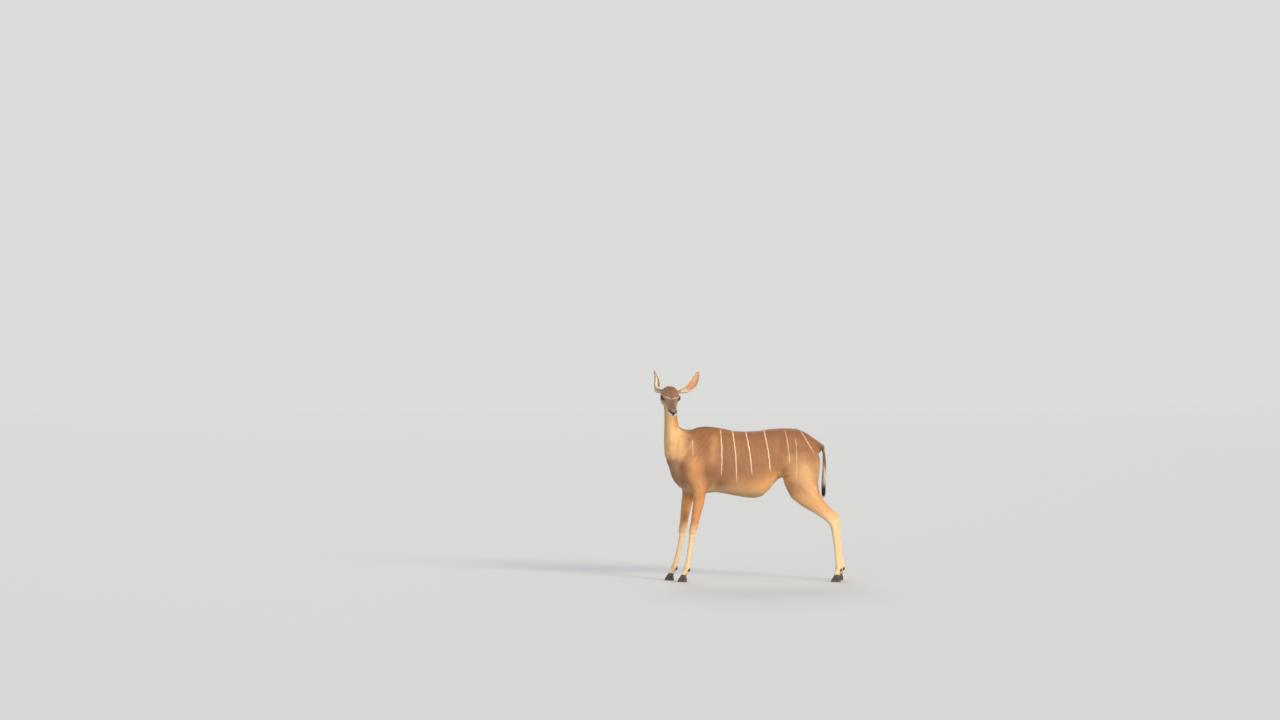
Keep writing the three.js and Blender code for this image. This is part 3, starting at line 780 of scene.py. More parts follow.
# %% [markdown]
# The skin now has far more points than a flat flank needs. Decimating takes them where the surface is
# flattest. A vertex group says where points may go most freely, so the face keeps its lids and lips.

# %% Thin out the points
SKIN_TRIANGLES = 188000
HOLD = {"head": 0.45, "eyes and nose": 0.5, "ears": 0.25}  # how firmly each keeps its points, up to 1


def thinned(mesh, keep, triangles):
    """The mesh with fewer triangles. Keep is 0 to 1 at each point, and 1 holds on to its points longest."""
    rough = placed("rough", mesh)
    group = rough.vertex_groups.new(name="free")
    for level in range(1, 11):
        group.add(np.flatnonzero(np.round((1 - keep) * 10) == level).tolist(), level / 10, "REPLACE")
    fewer = rough.modifiers.new("fewer", "DECIMATE")
    fewer.ratio = triangles / sum(len(p.vertices) - 2 for p in mesh.polygons)
    fewer.vertex_group = group.name
    fewer.vertex_group_factor = 4
    return made_by_modifiers(rough)


keep = HOLD["head"] * on_head(places) + HOLD["eyes and nose"] * face_detail(places, 0.034, 285)
keep = np.maximum(keep, HOLD["ears"] * on_ears(places))
skin_mesh = thinned(flesh, keep, SKIN_TRIANGLES)
places, edges = read_places(skin_mesh), read_edges(skin_mesh)
spacing = np.linalg.norm(places[edges[0]] - places[edges[1]], axis=1)
print(len(skin_mesh.polygons), "triangles, spaced", (spacing.mean() * 1000).round(1), "mm on average")

# %% [markdown]
# Her markings are worked out once, at the points of the skin, and the tufts take them over from the place
# where they grow, so skin and coat always agree. The ground colour is laid on in soft patches, like
# washes of paint: fawn on the flank, redder on the back, pale on the belly and the throat. Some washes also
# carry painted light and shade: the lower flank, the belly, the neck, the thigh and the muscles round the
# shoulder are lightened beyond their own colour, and the flank hollow and the breast are darkened.

# %% Colours of the body
FAWN = "9f704b"
NAPE_WAY = unit(np.array([0.35, 0.90, 0.20]))  # the way the back of the neck looks
THROAT_WAY = np.array([-0.25, -0.95, 0])
FLANK_WASHES = [  # colour, a line of X and Z, width, strength
    ("94623f", [(-0.36, 1.20), (0.0, 1.17), (0.40, 1.19), (0.52, 1.12)], 0.075, 0.75),  # back
    ("98673f", [(-0.355, 1.12), (-0.37, 1.0), (-0.40, 0.89)], 0.052, 0.65),  # shoulder blade
    # partly painted light: the next three washes brighten strips behind and in front of the shoulder and on
    # the upper foreleg beyond their own fawn, as highlights on the muscles
    ("d39d69", [(-0.285, 1.12), (-0.30, 0.95)], 0.028, 0.60),
    ("d6a470", [(-0.455, 1.08), (-0.47, 0.96)], 0.032, 0.55),  # front of the shoulder
    ("dc9f64", [(-0.43, 0.93), (-0.45, 0.86), (-0.40, 0.72)], 0.062, 0.75),  # upper foreleg
    # partly painted light: the lower flank is paler than the side, and this wash brightens it further, as
    # light on a flank that faces half down
    ("f6b97a", [(-0.10, 0.70), (0.02, 0.69), (0.20, 0.77)], 0.092, 0.95),  # lower flank
    # painted shade: a darker band down the hollow of the flank in front of the thigh
    ("a5724c", [(0.20, 1.12), (0.215, 0.93)], 0.035, 0.40),  # flank hollow
    # partly painted light: the thigh is lighter than the flank, and these two washes brighten it further, as
    # a sunlit haunch looks
    ("d6a06a", [(0.30, 0.96), (0.36, 0.84)], 0.060, 0.55),  # thigh
    ("e8b780", [(0.42, 0.88), (0.45, 0.79), (0.50, 0.70)], 0.088, 0.85),
    ("dcb88c", [(0.55, 1.00), (0.54, 0.84)], 0.030, 0.60),  # buttock
    ("98643f", [(0.36, 1.06), (0.50, 1.00)], 0.050, 0.50),
]


def lay(ground, colour, strength):
    """One soft wash of colour over the ground, where its strength says."""
    ground += np.clip(strength, 0, 1)[:, None] * (linear(colour) - ground)


def body_ground(places, normals):
    x, y, z = places.T
    ground = np.tile(linear(FAWN), (len(places), 1))
    for colour, line, width, strength in FLANK_WASHES:
        lay(ground, colour, strength * near(places[:, [0, 2]], line, width))
    # The belly is pale, and this wash brightens it further as painted light against the shade underneath.
    lay(ground, "f3d09c", ramp(-normals[:, 2], 0.45, 0.95) * ramp(-z, -0.98, -0.80) * 0.8)  # belly
    back_line = 0.75 * bell(y, SPINE_Y, 0.012) * (normals[:, 2] > 0.2) * ramp(z, 1.05, 1.12)
    lay(ground, "6d4630", back_line)
    # The neck and the throat are paler than the flank, and these two washes brighten them further as painted
    # light, as a sunlit neck looks.
    neck = ramp(-x, 0.47, 0.56) * ramp(z, 0.93, 1.02)
    lay(ground, "d99e64", neck * 0.95)
    throat = ramp(normals @ THROAT_WAY, 0.1, 0.8)
    lay(ground, "ebbd84", neck * throat * 0.85)
    nape = ramp(normals @ NAPE_WAY, 0.2, 0.98)
    lay(ground, "8d6243", neck * nape * ramp(z, 1.05, 1.2) * 0.7)
    # The breast is greyer brown, and this wash is partly painted shade: it darkens the breast as the shade
    # under the neck does.
    breast = ramp(-x, 0.53, 0.60) * (1 - ramp(z, 0.90, 0.98))
    lay(ground, "a88362", breast * 0.8)
    return ground


normals = normals_of(skin_mesh)
ground = body_ground(places, normals)
print(len(FLANK_WASHES), "washes of colour on the flank")

# %% [markdown]
# Her legs are orange down to the knee and the hock, and cream below. Each has a dark garter on its inside,
# a dark patch behind the fetlock and a dark rim over the hooves. How far a point lies outside or behind the
# leg's middle line, as measured above, says where they go.

# %% Colours of the legs
GARTER = {"fore": 0.50, "hind": 0.60}  # height of the dark patch inside the leg
SHIN_TOP = {"fore": 0.45, "hind": 0.56}  # height where the cream begins


def leg_ground(ground, places):
    """Orange above the knee, cream below it, dark inside the knees and over the hooves."""
    x, z = places[:, 0], places[:, 2]
    below_trunk = 1 - ramp(z, 0.62, 0.76)
    lay(ground, "d3945b", below_trunk * (x < 0) * 0.9)
    lay(ground, "dfa970", below_trunk * (x > 0) * 0.9)
    shin_top = np.where(x < 0, SHIN_TOP["fore"], SHIN_TOP["hind"])
    shin = 1 - ramp(z, shin_top - 0.10, shin_top + 0.03)
    lay(ground, "ebcb9c", shin)
    for leg in LEGS:
        chosen, forward, out, reach = leg_frame(places, leg)
        height = places[chosen, 2]
        part = ground[chosen]
        lay(part, "4b3527", 0.75 * bell(height, GARTER[leg[:4]], 0.035) * ramp(-out / reach, 0.45, 0.9))
        lay(part, "f0e2c8", 0.8 * bell(height, 0.078, 0.014) * ramp(forward / reach, 0.0, 0.7))
        lay(part, "5a4433", 0.85 * bell(height, 0.088, 0.020) * ramp(-forward / reach, 0.25, 0.8))
        lay(part, "3c2c22", 0.85 * (1 - ramp(height, 0.050, 0.062)))
        ground[chosen] = part


leg_ground(ground, places)
print("The cream of the hind legs begins at", SHIN_TOP["hind"], "m")

# %% [markdown]
# The face is a mask of browns and greys. A dark forehead runs into a grey bridge of the nose, a broken pale
# chevron crosses it between the eyes, pale spots lie on the cheek, and the lips and the chin are white. The
# grey of the bridge and the sides of the nose is partly their own and partly painted shade. Each
# wash is drawn on the view that shows it best, the top, the side or the front, and shows only where the
# skin looks that way. The same step finds where the skin is bare: nose, line of the lips, rims of the lids.

# %% Colours of the face
FACE_WASHES = [  # colour, view, a line in the head's frame, width in millimetres, strength
    ("6f4a35", "top", [(20, 0), (95, 0)], 48, 0.80),  # forehead
    ("80593f", "top", [(110, 0), (150, 0)], 34, 0.60),
    # partly painted shade: the bridge and the sides of the nose are greyed beyond their own grey-brown, as a
    # face in shade looks
    ("615346", "top", [(185, 0), (300, 0)], 22, 0.85),  # bridge of the nose
    ("8b7b68", "side", [(205, 0), (285, -4)], 19, 0.75),  # side of the nose
    ("d3b18a", "side", [(205, -14), (120, -26), (70, -42)], 24, 0.80),  # cheek
    ("e0c8a4", "side", [(262, -26), (190, -44), (110, -72)], 17, 0.80),  # jaw
    ("b08a66", "side", [(205, 14), (262, 4)], 12, 0.50),
    ("f5eee2", "side", [(296, -14), (325, -17)], 9, 1.0),  # upper lip
    ("f5eee2", "side", [(280, -40), (322, -34)], 12, 1.0),  # chin
    ("86705b", "front", [(0, 18), (30, 14)], 14, 0.7),
    ("f5eee2", "front", [(8, -18), (30, -16)], 7, 1.0),
    ("f5eee2", "front", [(0, -36), (24, -34)], 13, 1.0),
    ("efe3cf", "side", [(138, -26)], 6.5, 0.75),  # spots on the cheek
    ("efe3cf", "side", [(112, -34)], 5.5, 0.65),
    ("7b5238", "side", [(120, 50), (160, 44)], 9, 0.5),  # brow
]
VIEWS = {  # the two measures seen, the way one looks, and the slopes between which a wash fades in
    "top": ([0, 1], [0, 0, 1], (0.25, 0.75)),
    "side": ([0, 2], [0, 1, 0], (0.2, 0.6)),
    "front": ([1, 2], [1, 0, 0], (0.2, 0.6)),
}
CHEVRON, CHEVRON_CREAM = [(160, 42, 36), (176, 26, 41), (190, 8, 40)], "e4d3b8"
EAR_ROOTS = [  # a line of places in the head's frame, its width, strength
    ([(42, 108, 50), (44, 74, 40)], 24, 0.95),
    ([(60, 72, 26), (92, 62, 6)], 13, 0.6),
    ([(0, -84, 6), (14, -66, 14)], 22, 0.95),
    ([(40, -66, 12), (86, -62, 4)], 12, 0.6),
]
BARE_SKIN = "231a17"
NOSE_PAD = [(331, 0, 5), (331, 0, -13), (330, 7, -8), (329, 8, 4), (325, 14, 4), (318, 20, 8)]


def face_ground(ground, places, normals):
    """Lays the face on the ground colour and returns how bare the skin is, for the nose and the lids."""
    head = np.flatnonzero(on_head(places) > 0)
    points, n = to_head(places[head]), normals[head] @ HEAD_AXES.T
    part, amount = ground[head], on_head(places[head])
    lay(part, "8d6850", amount)
    both = points * [1, 0, 1] + np.abs(points) * [0, 1, 0]
    for colour, view, line, width, strength in FACE_WASHES:
        measures, way, (low, high) = VIEWS[view]
        facing = ramp(np.where(view == "side", np.abs(n), n) @ way, low, high)
        lay(part, colour, strength * near(both[:, measures], line, width) * facing * amount)
    under_jaw = 0.85 * ramp(-n[:, 2], 0.3, 0.8) * ramp(-points[:, 2], 20, 45)
    lay(part, "e6d0ae", under_jaw * amount)
    for line, width, strength in EAR_ROOTS:
        lay(part, "e9d6b8", strength * near(points, line, width) * amount)
    lay(part, CHEVRON_CREAM, 0.5 * near(both, laid_on(both, CHEVRON), 4.5))
    bare = np.maximum(near(both, laid_on(both, NOSE_PAD), 6.5), near(both, laid_on(both, NOSTRIL), 3.2))
    bare = np.maximum(bare, near(both, np.add(NOSTRIL, (-3, -3, -1)), 6.5))  # the hollow of the nostril
    mouth = np.array(MOUTH)[::-1]
    level = np.interp(points[:, 0], mouth[:, 0], mouth[:, 2])
    between_lips = bell(points[:, 2], level, 1.6) * (points[:, 0] > mouth[0, 0])
    bare = np.maximum(ramp(bare, 0.30, 0.65), ramp(between_lips, 0.2, 0.7))
    for eye, side in zip(eye_places, (1, -1)):
        distance, _, beyond = on_eye(places[head], eye, side)
        close = distance < 0.034
        lay(part, "c79f76", 0.55 * bell(beyond, 8, 5) * close)
        lay(part, "4a3022", 0.9 * bell(beyond, 1.5, 3.0) * close)
        bare = np.maximum(bare, close * (1 - ramp(beyond, 1.0, 2.6)))
    lay(part, BARE_SKIN, bare)
    ground[head] = part
    everywhere = np.zeros(len(places))
    everywhere[head] = bare
    return everywhere


bare = face_ground(ground, places, normals)
print("Bare skin at", int((bare > 0.5).sum()), "points")

# %% [markdown]
# An ear is a thin trough, and its inside and outside look different: brown outside, pink under thin hair
# inside, with a cream rim. The deeper orange in the middle of the inside is painted light, for light shining
# through the thin ear. Its line from root to tip is measured in slices, as the legs' were.
# A point belongs to the inside if its normal looks back at that line.

# %% Colours of the ears
EAR_SLICES = 14
ROOT_POINTS = 40  # how many points nearest to the skull give the root of an ear


def ear_frame(places, normals, ear):
    """The points of an ear, how far they are to its tip and to its rim, the way it runs, and 1 inside it."""
    chosen = np.flatnonzero(inside(places, ear, EAR_MARGIN))
    points = places[chosen]
    reach = np.linalg.norm(points - HEAD_MIDDLE, axis=1)
    root, tip = points[np.argsort(reach)[:ROOT_POINTS]].mean(axis=0), points[np.argmax(reach)]
    share = np.clip((points - root) @ (tip - root) / np.sum((tip - root) ** 2), 0, 1)
    at = (np.arange(EAR_SLICES) + 0.5) / EAR_SLICES
    slices = [np.abs(share - s) < 0.6 / EAR_SLICES for s in at]
    line = np.array([points[part].mean(axis=0) for part in slices])
    middle = np.stack([np.interp(share, at, column) for column in line.T], axis=1)
    slope = np.gradient(line, axis=0)
    run = unit(np.stack([np.interp(share, at, column) for column in slope.T], axis=1))
    off = points - middle
    off -= np.sum(off * run, axis=1, keepdims=True) * run
    width = np.linalg.norm(off, axis=1)
    widest = np.interp(share, at, [np.quantile(width[part], 0.97) for part in slices])
    facing = -np.sum(unit(off) * normals[chosen], axis=1)
    return chosen, share, width / widest, run, ramp(facing, -0.25, 0.35)


def ear_ground(ground, places, normals):
    for ear in EARS:
        chosen, share, edge, _, within = ear_frame(places, normals, ear)
        part = ground[chosen]
        lay(part, "94714f", np.ones(len(chosen)))
        lay(part, "e9d6b8", 0.95 * (1 - ramp(share, 0.10, 0.30)))
        lay(part, "e2b394", 0.95 * within * ramp(share, 0.08, 0.25))
        # painted light: a deeper orange in the middle of the inside, for light shining through the thin ear
        lay(part, "c98564", 0.75 * within * bell(share, 0.36, 0.20) * (1 - ramp(edge, 0.3, 0.85)))
        lay(part, "f1e3c9", 0.9 * np.maximum(ramp(edge, 0.78, 0.96), ramp(share, 0.80, 0.95)) * within)
        lay(part, "eadabd", 0.9 * np.maximum(ramp(edge, 0.74, 0.92), ramp(share, 0.84, 0.97)))
        ground[chosen] = part


ear_ground(ground, places, normals)
print(EAR_SLICES, "slices measure each ear")

# %% [markdown]
# The tail is brown above like the rump, and its white underside shows as a fringe at both sides. The end is
# black. The flesh takes these colours too, so that no gap between the long hairs shows another one.

# %% Colours of the tail
TAIL_BLACK = "2b211c"


def tail_ground(ground, places, normals):
    """Brown above, white below and at the sides lower down, and black at the end."""
    chosen = np.flatnonzero(on_tail(places))
    z, out = places[chosen, 2], normals[chosen, 0]
    part = ground[chosen]
    lay(part, "8d6040", np.ones(len(chosen)))
    high = ramp(z, 0.88, 0.97)
    lay(part, "f4ebdb", ramp(-out, -0.9 + 1.3 * high, -0.5 + 1.7 * high) * (z < 1.04))
    lay(part, TAIL_BLACK, 1 - ramp(z, 0.775, 0.80))
    ground[chosen] = part


tail_ground(ground, places, normals)
print("The tail has", int(on_tail(places).sum()), "points")

# %% [markdown]
# The white stripes are thin, so they would blur as patches of colour. They are kept as a phase instead, a
# number that grows from head to tail and is whole on each stripe, and the shader turns it into crisp lines.

# %% White stripes
STRIPES = [  # X at the top and the bottom in metres, the heights between which it shows, and its strength
    # The first is a faint short pale mark on the front of the shoulder.
    ((-0.455, -0.462), (1.00, 1.12), 0.45),
    ((-0.226, -0.224), (0.85, 1.19), 1.0),
    ((-0.135, -0.110), (0.80, 1.19), 1.0),
    ((-0.033, 0.010), (0.86, 1.19), 1.0),
    ((0.112, 0.156), (0.88, 1.19), 1.0),
    ((0.280, 0.318), (0.93, 1.18), 0.6),
    ((0.352, 0.352), (0.80, 1.12), 0.5),
    ((0.400, 0.585), (1.02, 1.19), 0.75),
]
STRIPE_TOP, STRIPE_FOOT = 1.18, 0.85  # heights at which the X of each stripe is given
STRIPE_HALF_WIDTH = 0.0040


def stripe_phase(places):
    """The phase of the stripes, their half width in phase, and their strength, at each place."""
    x, y, z = places.T
    drop = (STRIPE_TOP - z) / (STRIPE_TOP - STRIPE_FOOT)
    sway = 0.003 * np.sin(z * 15 + np.sign(y - SPINE_Y))
    lines = [top + (foot - top) * drop + sway for (top, foot), _, _ in STRIPES]
    lines = [lines[0] - 0.1, *lines, lines[-1] + 0.1]
    phase, width, strength = np.zeros(len(x)), np.full(len(x), 0.04), np.zeros(len(x))
    for before, after in zip(lines, lines[1:]):
        phase += np.clip((x - before) / np.maximum(after - before, 0.012), 0, 1)
    for i, (_, (low, high), amount) in enumerate(STRIPES, start=1):
        mine = np.abs(phase - i) <= 0.5
        spacing = np.maximum(lines[i + 1] - lines[i - 1], 0.03) / 2
        width[mine] = STRIPE_HALF_WIDTH / spacing[mine]
        shown = amount * ramp(z, low - 0.03, low + 0.03) * (1 - ramp(z, high - 0.02, high + 0.02))
        strength[mine] = shown[mine]
    on_flank = (np.abs(y - SPINE_Y) > 0.01) * (1 - ramp(-x, 0.49, 0.53))
    return phase, width, strength * on_flank


phase, stripe_width, stripe = stripe_phase(places)
print(len(STRIPES), "stripes on each side")

# %% [markdown]
# Short kudu hair is a hollow, slightly glossy fibre. It reads as a soft matt surface with a faint silky
# sheen, and no two tufts are quite the same brown. Each tuft is darker at its root than at its tip: partly
# the hair's own banding, and partly painted shade deep among the hairs. One recipe serves the skin and every
# tuft. It takes the ground colour and the phase of the stripes from the mesh, draws the stripes with a
# slightly ragged edge, and then varies the lightness at three sizes: broad blotches, clumps of hair and
# single tufts. Only the skin has bare parts: nose, line of the lips and rims of the lids.

# %% The coat's finish
MARKS = {"ground": "FLOAT_COLOR", "root_place": "FLOAT_VECTOR", "phase": "FLOAT", "stripe_width": "FLOAT"}
MARKS |= {"stripe": "FLOAT", "strand": "FLOAT", "tip": "FLOAT"}
STRIPE_WHITE = "ecd7b9"
BLOTCH, CLUMP = 0.060, 0.0045  # metres across
# partly painted shade: a darker root is partly the hair's own banding and partly the shade deep among the
# hairs
ROOT_TONE, TONE_TO_TIP = 0.87, 0.22  # lightness of a tuft at its root, and what its tip has more
DARKEST_TUFT, TUFT_RANGE = 0.91, 0.18  # lightness of the darkest tuft, and what the lightest has more
KERATIN_IOR = 1.55


def varied(material, place, size, detail, low, high):
    """Noise with patches of one size in metres, as a value between low and high."""
    noise = add(material, "ShaderNodeTexNoise", {"Vector": place, "Scale": 1 / size, "Detail": detail})
    span = {"Value": noise.outputs["Fac"], "From Min": 0.3, "From Max": 0.7, "To Min": low, "To Max": high}
    return add(material, "ShaderNodeMapRange", span).outputs["Result"]


def worked_out(material, operation, *values):
    return add(material, "ShaderNodeMath", dict(enumerate(values)), operation=operation).outputs[0]


def coat_colour(material):
    """The colour of the coat from the marks on the mesh, and the place of the root."""
    mark = {name: add(material, "ShaderNodeAttribute", attribute_name=name).outputs for name in MARKS}
    place = mark["root_place"]["Vector"]
    sway = varied(material, place, 0.040, 1, -0.012, 0.012)
    moved = worked_out(material, "ADD", mark["phase"]["Fac"], sway)
    off = worked_out(material, "PINGPONG", moved, 0.5)  # how far the nearest stripe is
    ragged = varied(material, place, 0.010, 2, 0.7, 1.2)
    half = worked_out(material, "MULTIPLY", mark["stripe_width"]["Fac"], ragged)
    edge = {"Value": off, "From Min": worked_out(material, "MULTIPLY", half, 1.3)}
    edge["From Max"] = worked_out(material, "MULTIPLY", half, 0.6)
    line = add(material, "ShaderNodeMapRange", edge, interpolation_type="SMOOTHSTEP").outputs["Result"]
    white = worked_out(material, "MULTIPLY", line, mark["stripe"]["Fac"])
    colour = blend(material, white, mark["ground"]["Color"], STRIPE_WHITE)
    # darker towards the root: partly banding, partly painted shade among the hairs
    tone = worked_out(material, "MULTIPLY_ADD", mark["tip"]["Fac"], TONE_TO_TIP, ROOT_TONE)
    strand = worked_out(material, "MULTIPLY_ADD", mark["strand"]["Fac"], TUFT_RANGE, DARKEST_TUFT)
    blotches = varied(material, place, BLOTCH, 2, 0.94, 1.06)
    clumps = varied(material, place, CLUMP, 2, 0.91, 1.09)
    for other in (strand, blotches, clumps):
        tone = worked_out(material, "MULTIPLY", tone, other)
    toned = add(material, "ShaderNodeVectorMath", {0: colour, "Scale": tone}, operation="SCALE")
    return toned.outputs[0], place


def coat_finish(name):
    """The finish of the tufts: matt keratin with a faint sheen."""
    material, shader = new_material(name)
    colour, place = coat_colour(material)
    material.node_tree.links.new(colour, shader.inputs["Base Color"])
    rough = varied(material, place, CLUMP, 2, 0.52, 0.70)
    material.node_tree.links.new(rough, shader.inputs["Roughness"])
    set_sockets(shader, IOR=KERATIN_IOR, Specular_IOR_Level=0.35, Sheen_Weight=0.18, Sheen_Roughness=0.45)
    return material


def skin_finish(name):
    """The finish of the skin: as the coat between the tufts, and smooth, dark and moist where it is bare."""
    material, shader = new_material(name)
    links = material.node_tree.links
    colour, place = coat_colour(material)
    links.new(colour, shader.inputs["Base Color"])
    bare_here = add(material, "ShaderNodeAttribute", attribute_name="bare").outputs["Fac"]
    hairy = varied(material, place, CLUMP, 2, 0.58, 0.76)
    moist = {0: bare_here, 2: hairy, 3: varied(material, place, 0.003, 1, 0.24, 0.40)}
    links.new(add(material, "ShaderNodeMix", moist).outputs[0], shader.inputs["Roughness"])
    fibres = varied(material, place, 0.0022, 3, 0, 1)  # as coarse as a tuft of the face
    pores = add(material, "ShaderNodeTexVoronoi", {"Vector": place, "Scale": 1 / 0.0019}).outputs["Distance"]
    shallow = worked_out(material, "MULTIPLY", pores, 0.3)
    height = add(material, "ShaderNodeMix", {0: bare_here, 2: fibres, 3: shallow}).outputs[0]
    bump = add(material, "ShaderNodeBump", {"Height": height, "Strength": 0.5, "Distance": 0.0006})
    links.new(bump.outputs["Normal"], shader.inputs["Normal"])
    set_sockets(shader, IOR=KERATIN_IOR, Specular_IOR_Level=0.4, Sheen_Weight=0.1, Sheen_Roughness=0.5)
    return material


coat_hair = coat_finish("short kudu hair")
print(len(coat_hair.node_tree.nodes), "nodes colour a tuft")

# %% [markdown]
# The skin is the first finished piece. Its finish reads marks from the mesh: named attributes with one value
# at each point. Attributes carry a whole array of numbers into a material in one call, and they bend and
# stretch with the mesh.

# %% The skin
def store(mesh, name, kind, values):
    """One value for each point of a mesh, under a name that a material can read."""
    layer = mesh.attributes.new(name, kind, "POINT")
    field = {"FLOAT": "value", "FLOAT_VECTOR": "vector", "FLOAT_COLOR": "color"}[kind]
    if kind == "FLOAT_COLOR":
        values = np.concatenate([values, np.ones((len(values), 1))], axis=1)
    layer.data.foreach_set(field, np.ascontiguousarray(values, dtype=np.float32).ravel())


def shown(name, mesh, material):
    """A finished mesh as a smooth object of the scene."""
    mesh.materials.clear()
    mesh.materials.append(material)
    mesh.polygons.foreach_set("use_smooth", np.ones(len(mesh.polygons), dtype=bool))
    return placed(name, mesh)


# painted shade: the skin between the tufts is darkened like their roots, for the shade under the coat
SKIN_TIP = 0.35  # between the tufts the skin is nearly as dark as their roots
points = len(places)
skin_marks = {"ground": ground, "root_place": places}
skin_marks |= {"phase": phase, "stripe_width": stripe_width, "stripe": stripe}
skin_marks |= {"strand": np.full(points, 0.5), "tip": SKIN_TIP + (1 - SKIN_TIP) * bare}
for mark, kind in MARKS.items():
    store(skin_mesh, mark, kind, skin_marks[mark])
store(skin_mesh, "bare", "FLOAT", bare)
skin = shown("skin", skin_mesh, skin_finish("kudu skin and underfur"))
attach(skin, "root")
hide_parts(*FLESH, *LEGS)
print("The skin has", points, "points")

# %% [markdown]
# Every hair of the coat lies one way: from the nose up over the face, down the neck, back along the flank
# and down the legs. Some thirty guides give that direction at their places, and each point of the skin takes
# a mean of the guides round it, laid flat on the surface. The length of the coat goes by the region: short
# on the face and the shanks, longest under the belly, with a soft change from one to the next.

# %% The lie and the length of the coat
GUIDES = [  # X, distance from the middle plane and Z, then the direction in X and Z
    ((-0.35, 0.00, 1.22), (1.0, -0.05)),
    ((0.00, 0.00, 1.18), (1.0, 0.0)),
    ((0.38, 0.00, 1.21), (1.0, -0.1)),
    ((0.53, 0.00, 1.11), (0.6, -0.8)),
    ((-0.18, 0.15, 1.05), (0.9, -0.45)),
    ((0.00, 0.18, 1.00), (0.9, -0.35)),
    ((0.18, 0.17, 1.05), (0.95, -0.3)),
    ((-0.15, 0.16, 0.80), (0.9, -0.4)),
    ((0.10, 0.18, 0.78), (0.95, -0.2)),
    ((0.00, 0.00, 0.66), (1.0, 0.0)),
    ((-0.44, 0.13, 1.06), (0.55, -0.85)),
    ((-0.43, 0.14, 0.90), (0.25, -0.95)),
    ((-0.40, 0.12, 0.74), (0.05, -1.0)),
    ((-0.60, 0.00, 0.90), (0.1, -1.0)),
    ((-0.50, 0.02, 0.72), (0.6, -0.8)),
    ((-0.40, 0.00, 0.69), (1.0, 0.0)),
    ((0.33, 0.16, 1.06), (0.75, -0.65)),
    ((0.42, 0.15, 0.90), (0.35, -0.94)),
    ((0.51, 0.10, 1.00), (0.25, -0.97)),
    ((0.56, 0.02, 0.90), (0.0, -1.0)),
    ((0.45, 0.10, 0.74), (0.5, -0.87)),
    ((0.28, 0.04, 0.86), (0.7, -0.5)),
    ((0.56, 0.10, 0.60), (0.6, -0.8)),
    ((0.64, 0.10, 0.50), (0.15, -1.0)),
    ((0.68, 0.10, 0.20), (0.0, -1.0)),
    ((-0.45, 0.10, 0.40), (0.0, -1.0)),
    ((-0.60, 0.00, 1.10), (0.30, -0.95)),
    ((-0.63, 0.05, 1.25), (0.06, -1.0)),
    ((-0.63, 0.00, 1.40), (0.0, -1.0)),
]
LENGTHS = {"trunk": 0.016, "neck": 0.017, "belly": 0.021, "shank": 0.0085}  # metres
LENGTHS |= {"face": 0.0052, "crown": 0.0085, "muzzle": 0.0032, "ear outside": 0.0080, "ear inside": 0.0062}


def flattened(directions, normals):
    return unit(directions - np.sum(directions * normals, axis=1, keepdims=True) * normals)


def lie_of_coat(places, normals):
    around_middle = places * [1, 0, 1] + np.abs(places - [0, SPINE_Y, 0]) * [0, 1, 0]
    lie = np.zeros(places.shape)
    for place, (back, up) in GUIDES:
        weight = (np.sum((around_middle - place) ** 2, axis=1) + 0.05**2) ** -2
        lie += weight[:, None] * np.array([back, 0, up])
    lie = unit(lie)
    x, y, z = to_head(places).T
    from_nose = np.stack([np.full(len(x), -1.0), 0.25 * np.sign(y), -0.004 * (z - 10)], axis=1)
    lie += on_head(places)[:, None] * (unit(from_nose) @ HEAD_AXES - lie)
    for ear in EARS:
        chosen, _, _, run, _ = ear_frame(places, normals, ear)
        lie[chosen] = run
    lie[on_tail(places)] = (0.12, 0, -1)
    return flattened(lie, normals)


def length_of_coat(places, normals):
    x, z = places[:, 0], places[:, 2]
    length = np.full(len(places), LENGTHS["trunk"])
    length += ramp(-x, 0.50, 0.56) * (LENGTHS["neck"] - length)
    under = ramp(-normals[:, 2], 0.3, 0.9) * ramp(z, 0.6, 0.66)
    length += under * (LENGTHS["belly"] - length)
    length += (1 - ramp(z, 0.36, 0.78)) * (LENGTHS["shank"] - length)
    points = to_head(places)
    crown = 1 - ramp(points[:, 0], 60, 190)
    face = LENGTHS["face"] + crown * (LENGTHS["crown"] - LENGTHS["face"])
    face += ramp(points[:, 0], 240, 300) * (LENGTHS["muzzle"] - face)
    face = np.minimum(face, 0.0022 + 0.12 * np.maximum(eye_distance(places) - 0.0215, 0))
    length += on_head(places) * (face - length)
    for ear in EARS:
        chosen, _, _, _, within = ear_frame(places, normals, ear)
        length[chosen] = LENGTHS["ear outside"] + within * (LENGTHS["ear inside"] - LENGTHS["ear outside"])
    return length


lie = lie_of_coat(places, normals)
length = length_of_coat(places, normals)
print("The coat is", (length.min() * 1000).round(1), "to", (length.max() * 1000).round(1), "mm long")

# %% [markdown]
# A tuft is a closed sliver: three corners at the root, as many rings of three as its bend needs, and a tip.
# Flat hair needs no ring between, so a tuft of the short coat has only four faces, and a hundred thousand
# of them cost little. Each tuft's normal leans to the skin's own, so the coat shades as one sleek surface,
# and the tuft keeps the colour of its root. Every piece of the coat also has a map on which a tuft is one
# small patch at its root's place.

# %% How a tuft grows
ROOT_DEPTH = 0.12  # how deep the root is sunk in the skin, of the width
THICKNESS = 0.15  # of the width
PATCH = 0.003  # size of a tuft on the map
SKIN_NORMAL = 0.75  # share of the skin's normal in a tuft's own
OWN_STRIPE = 0.7  # how far a tuft is striped where it lies, and not where its root is


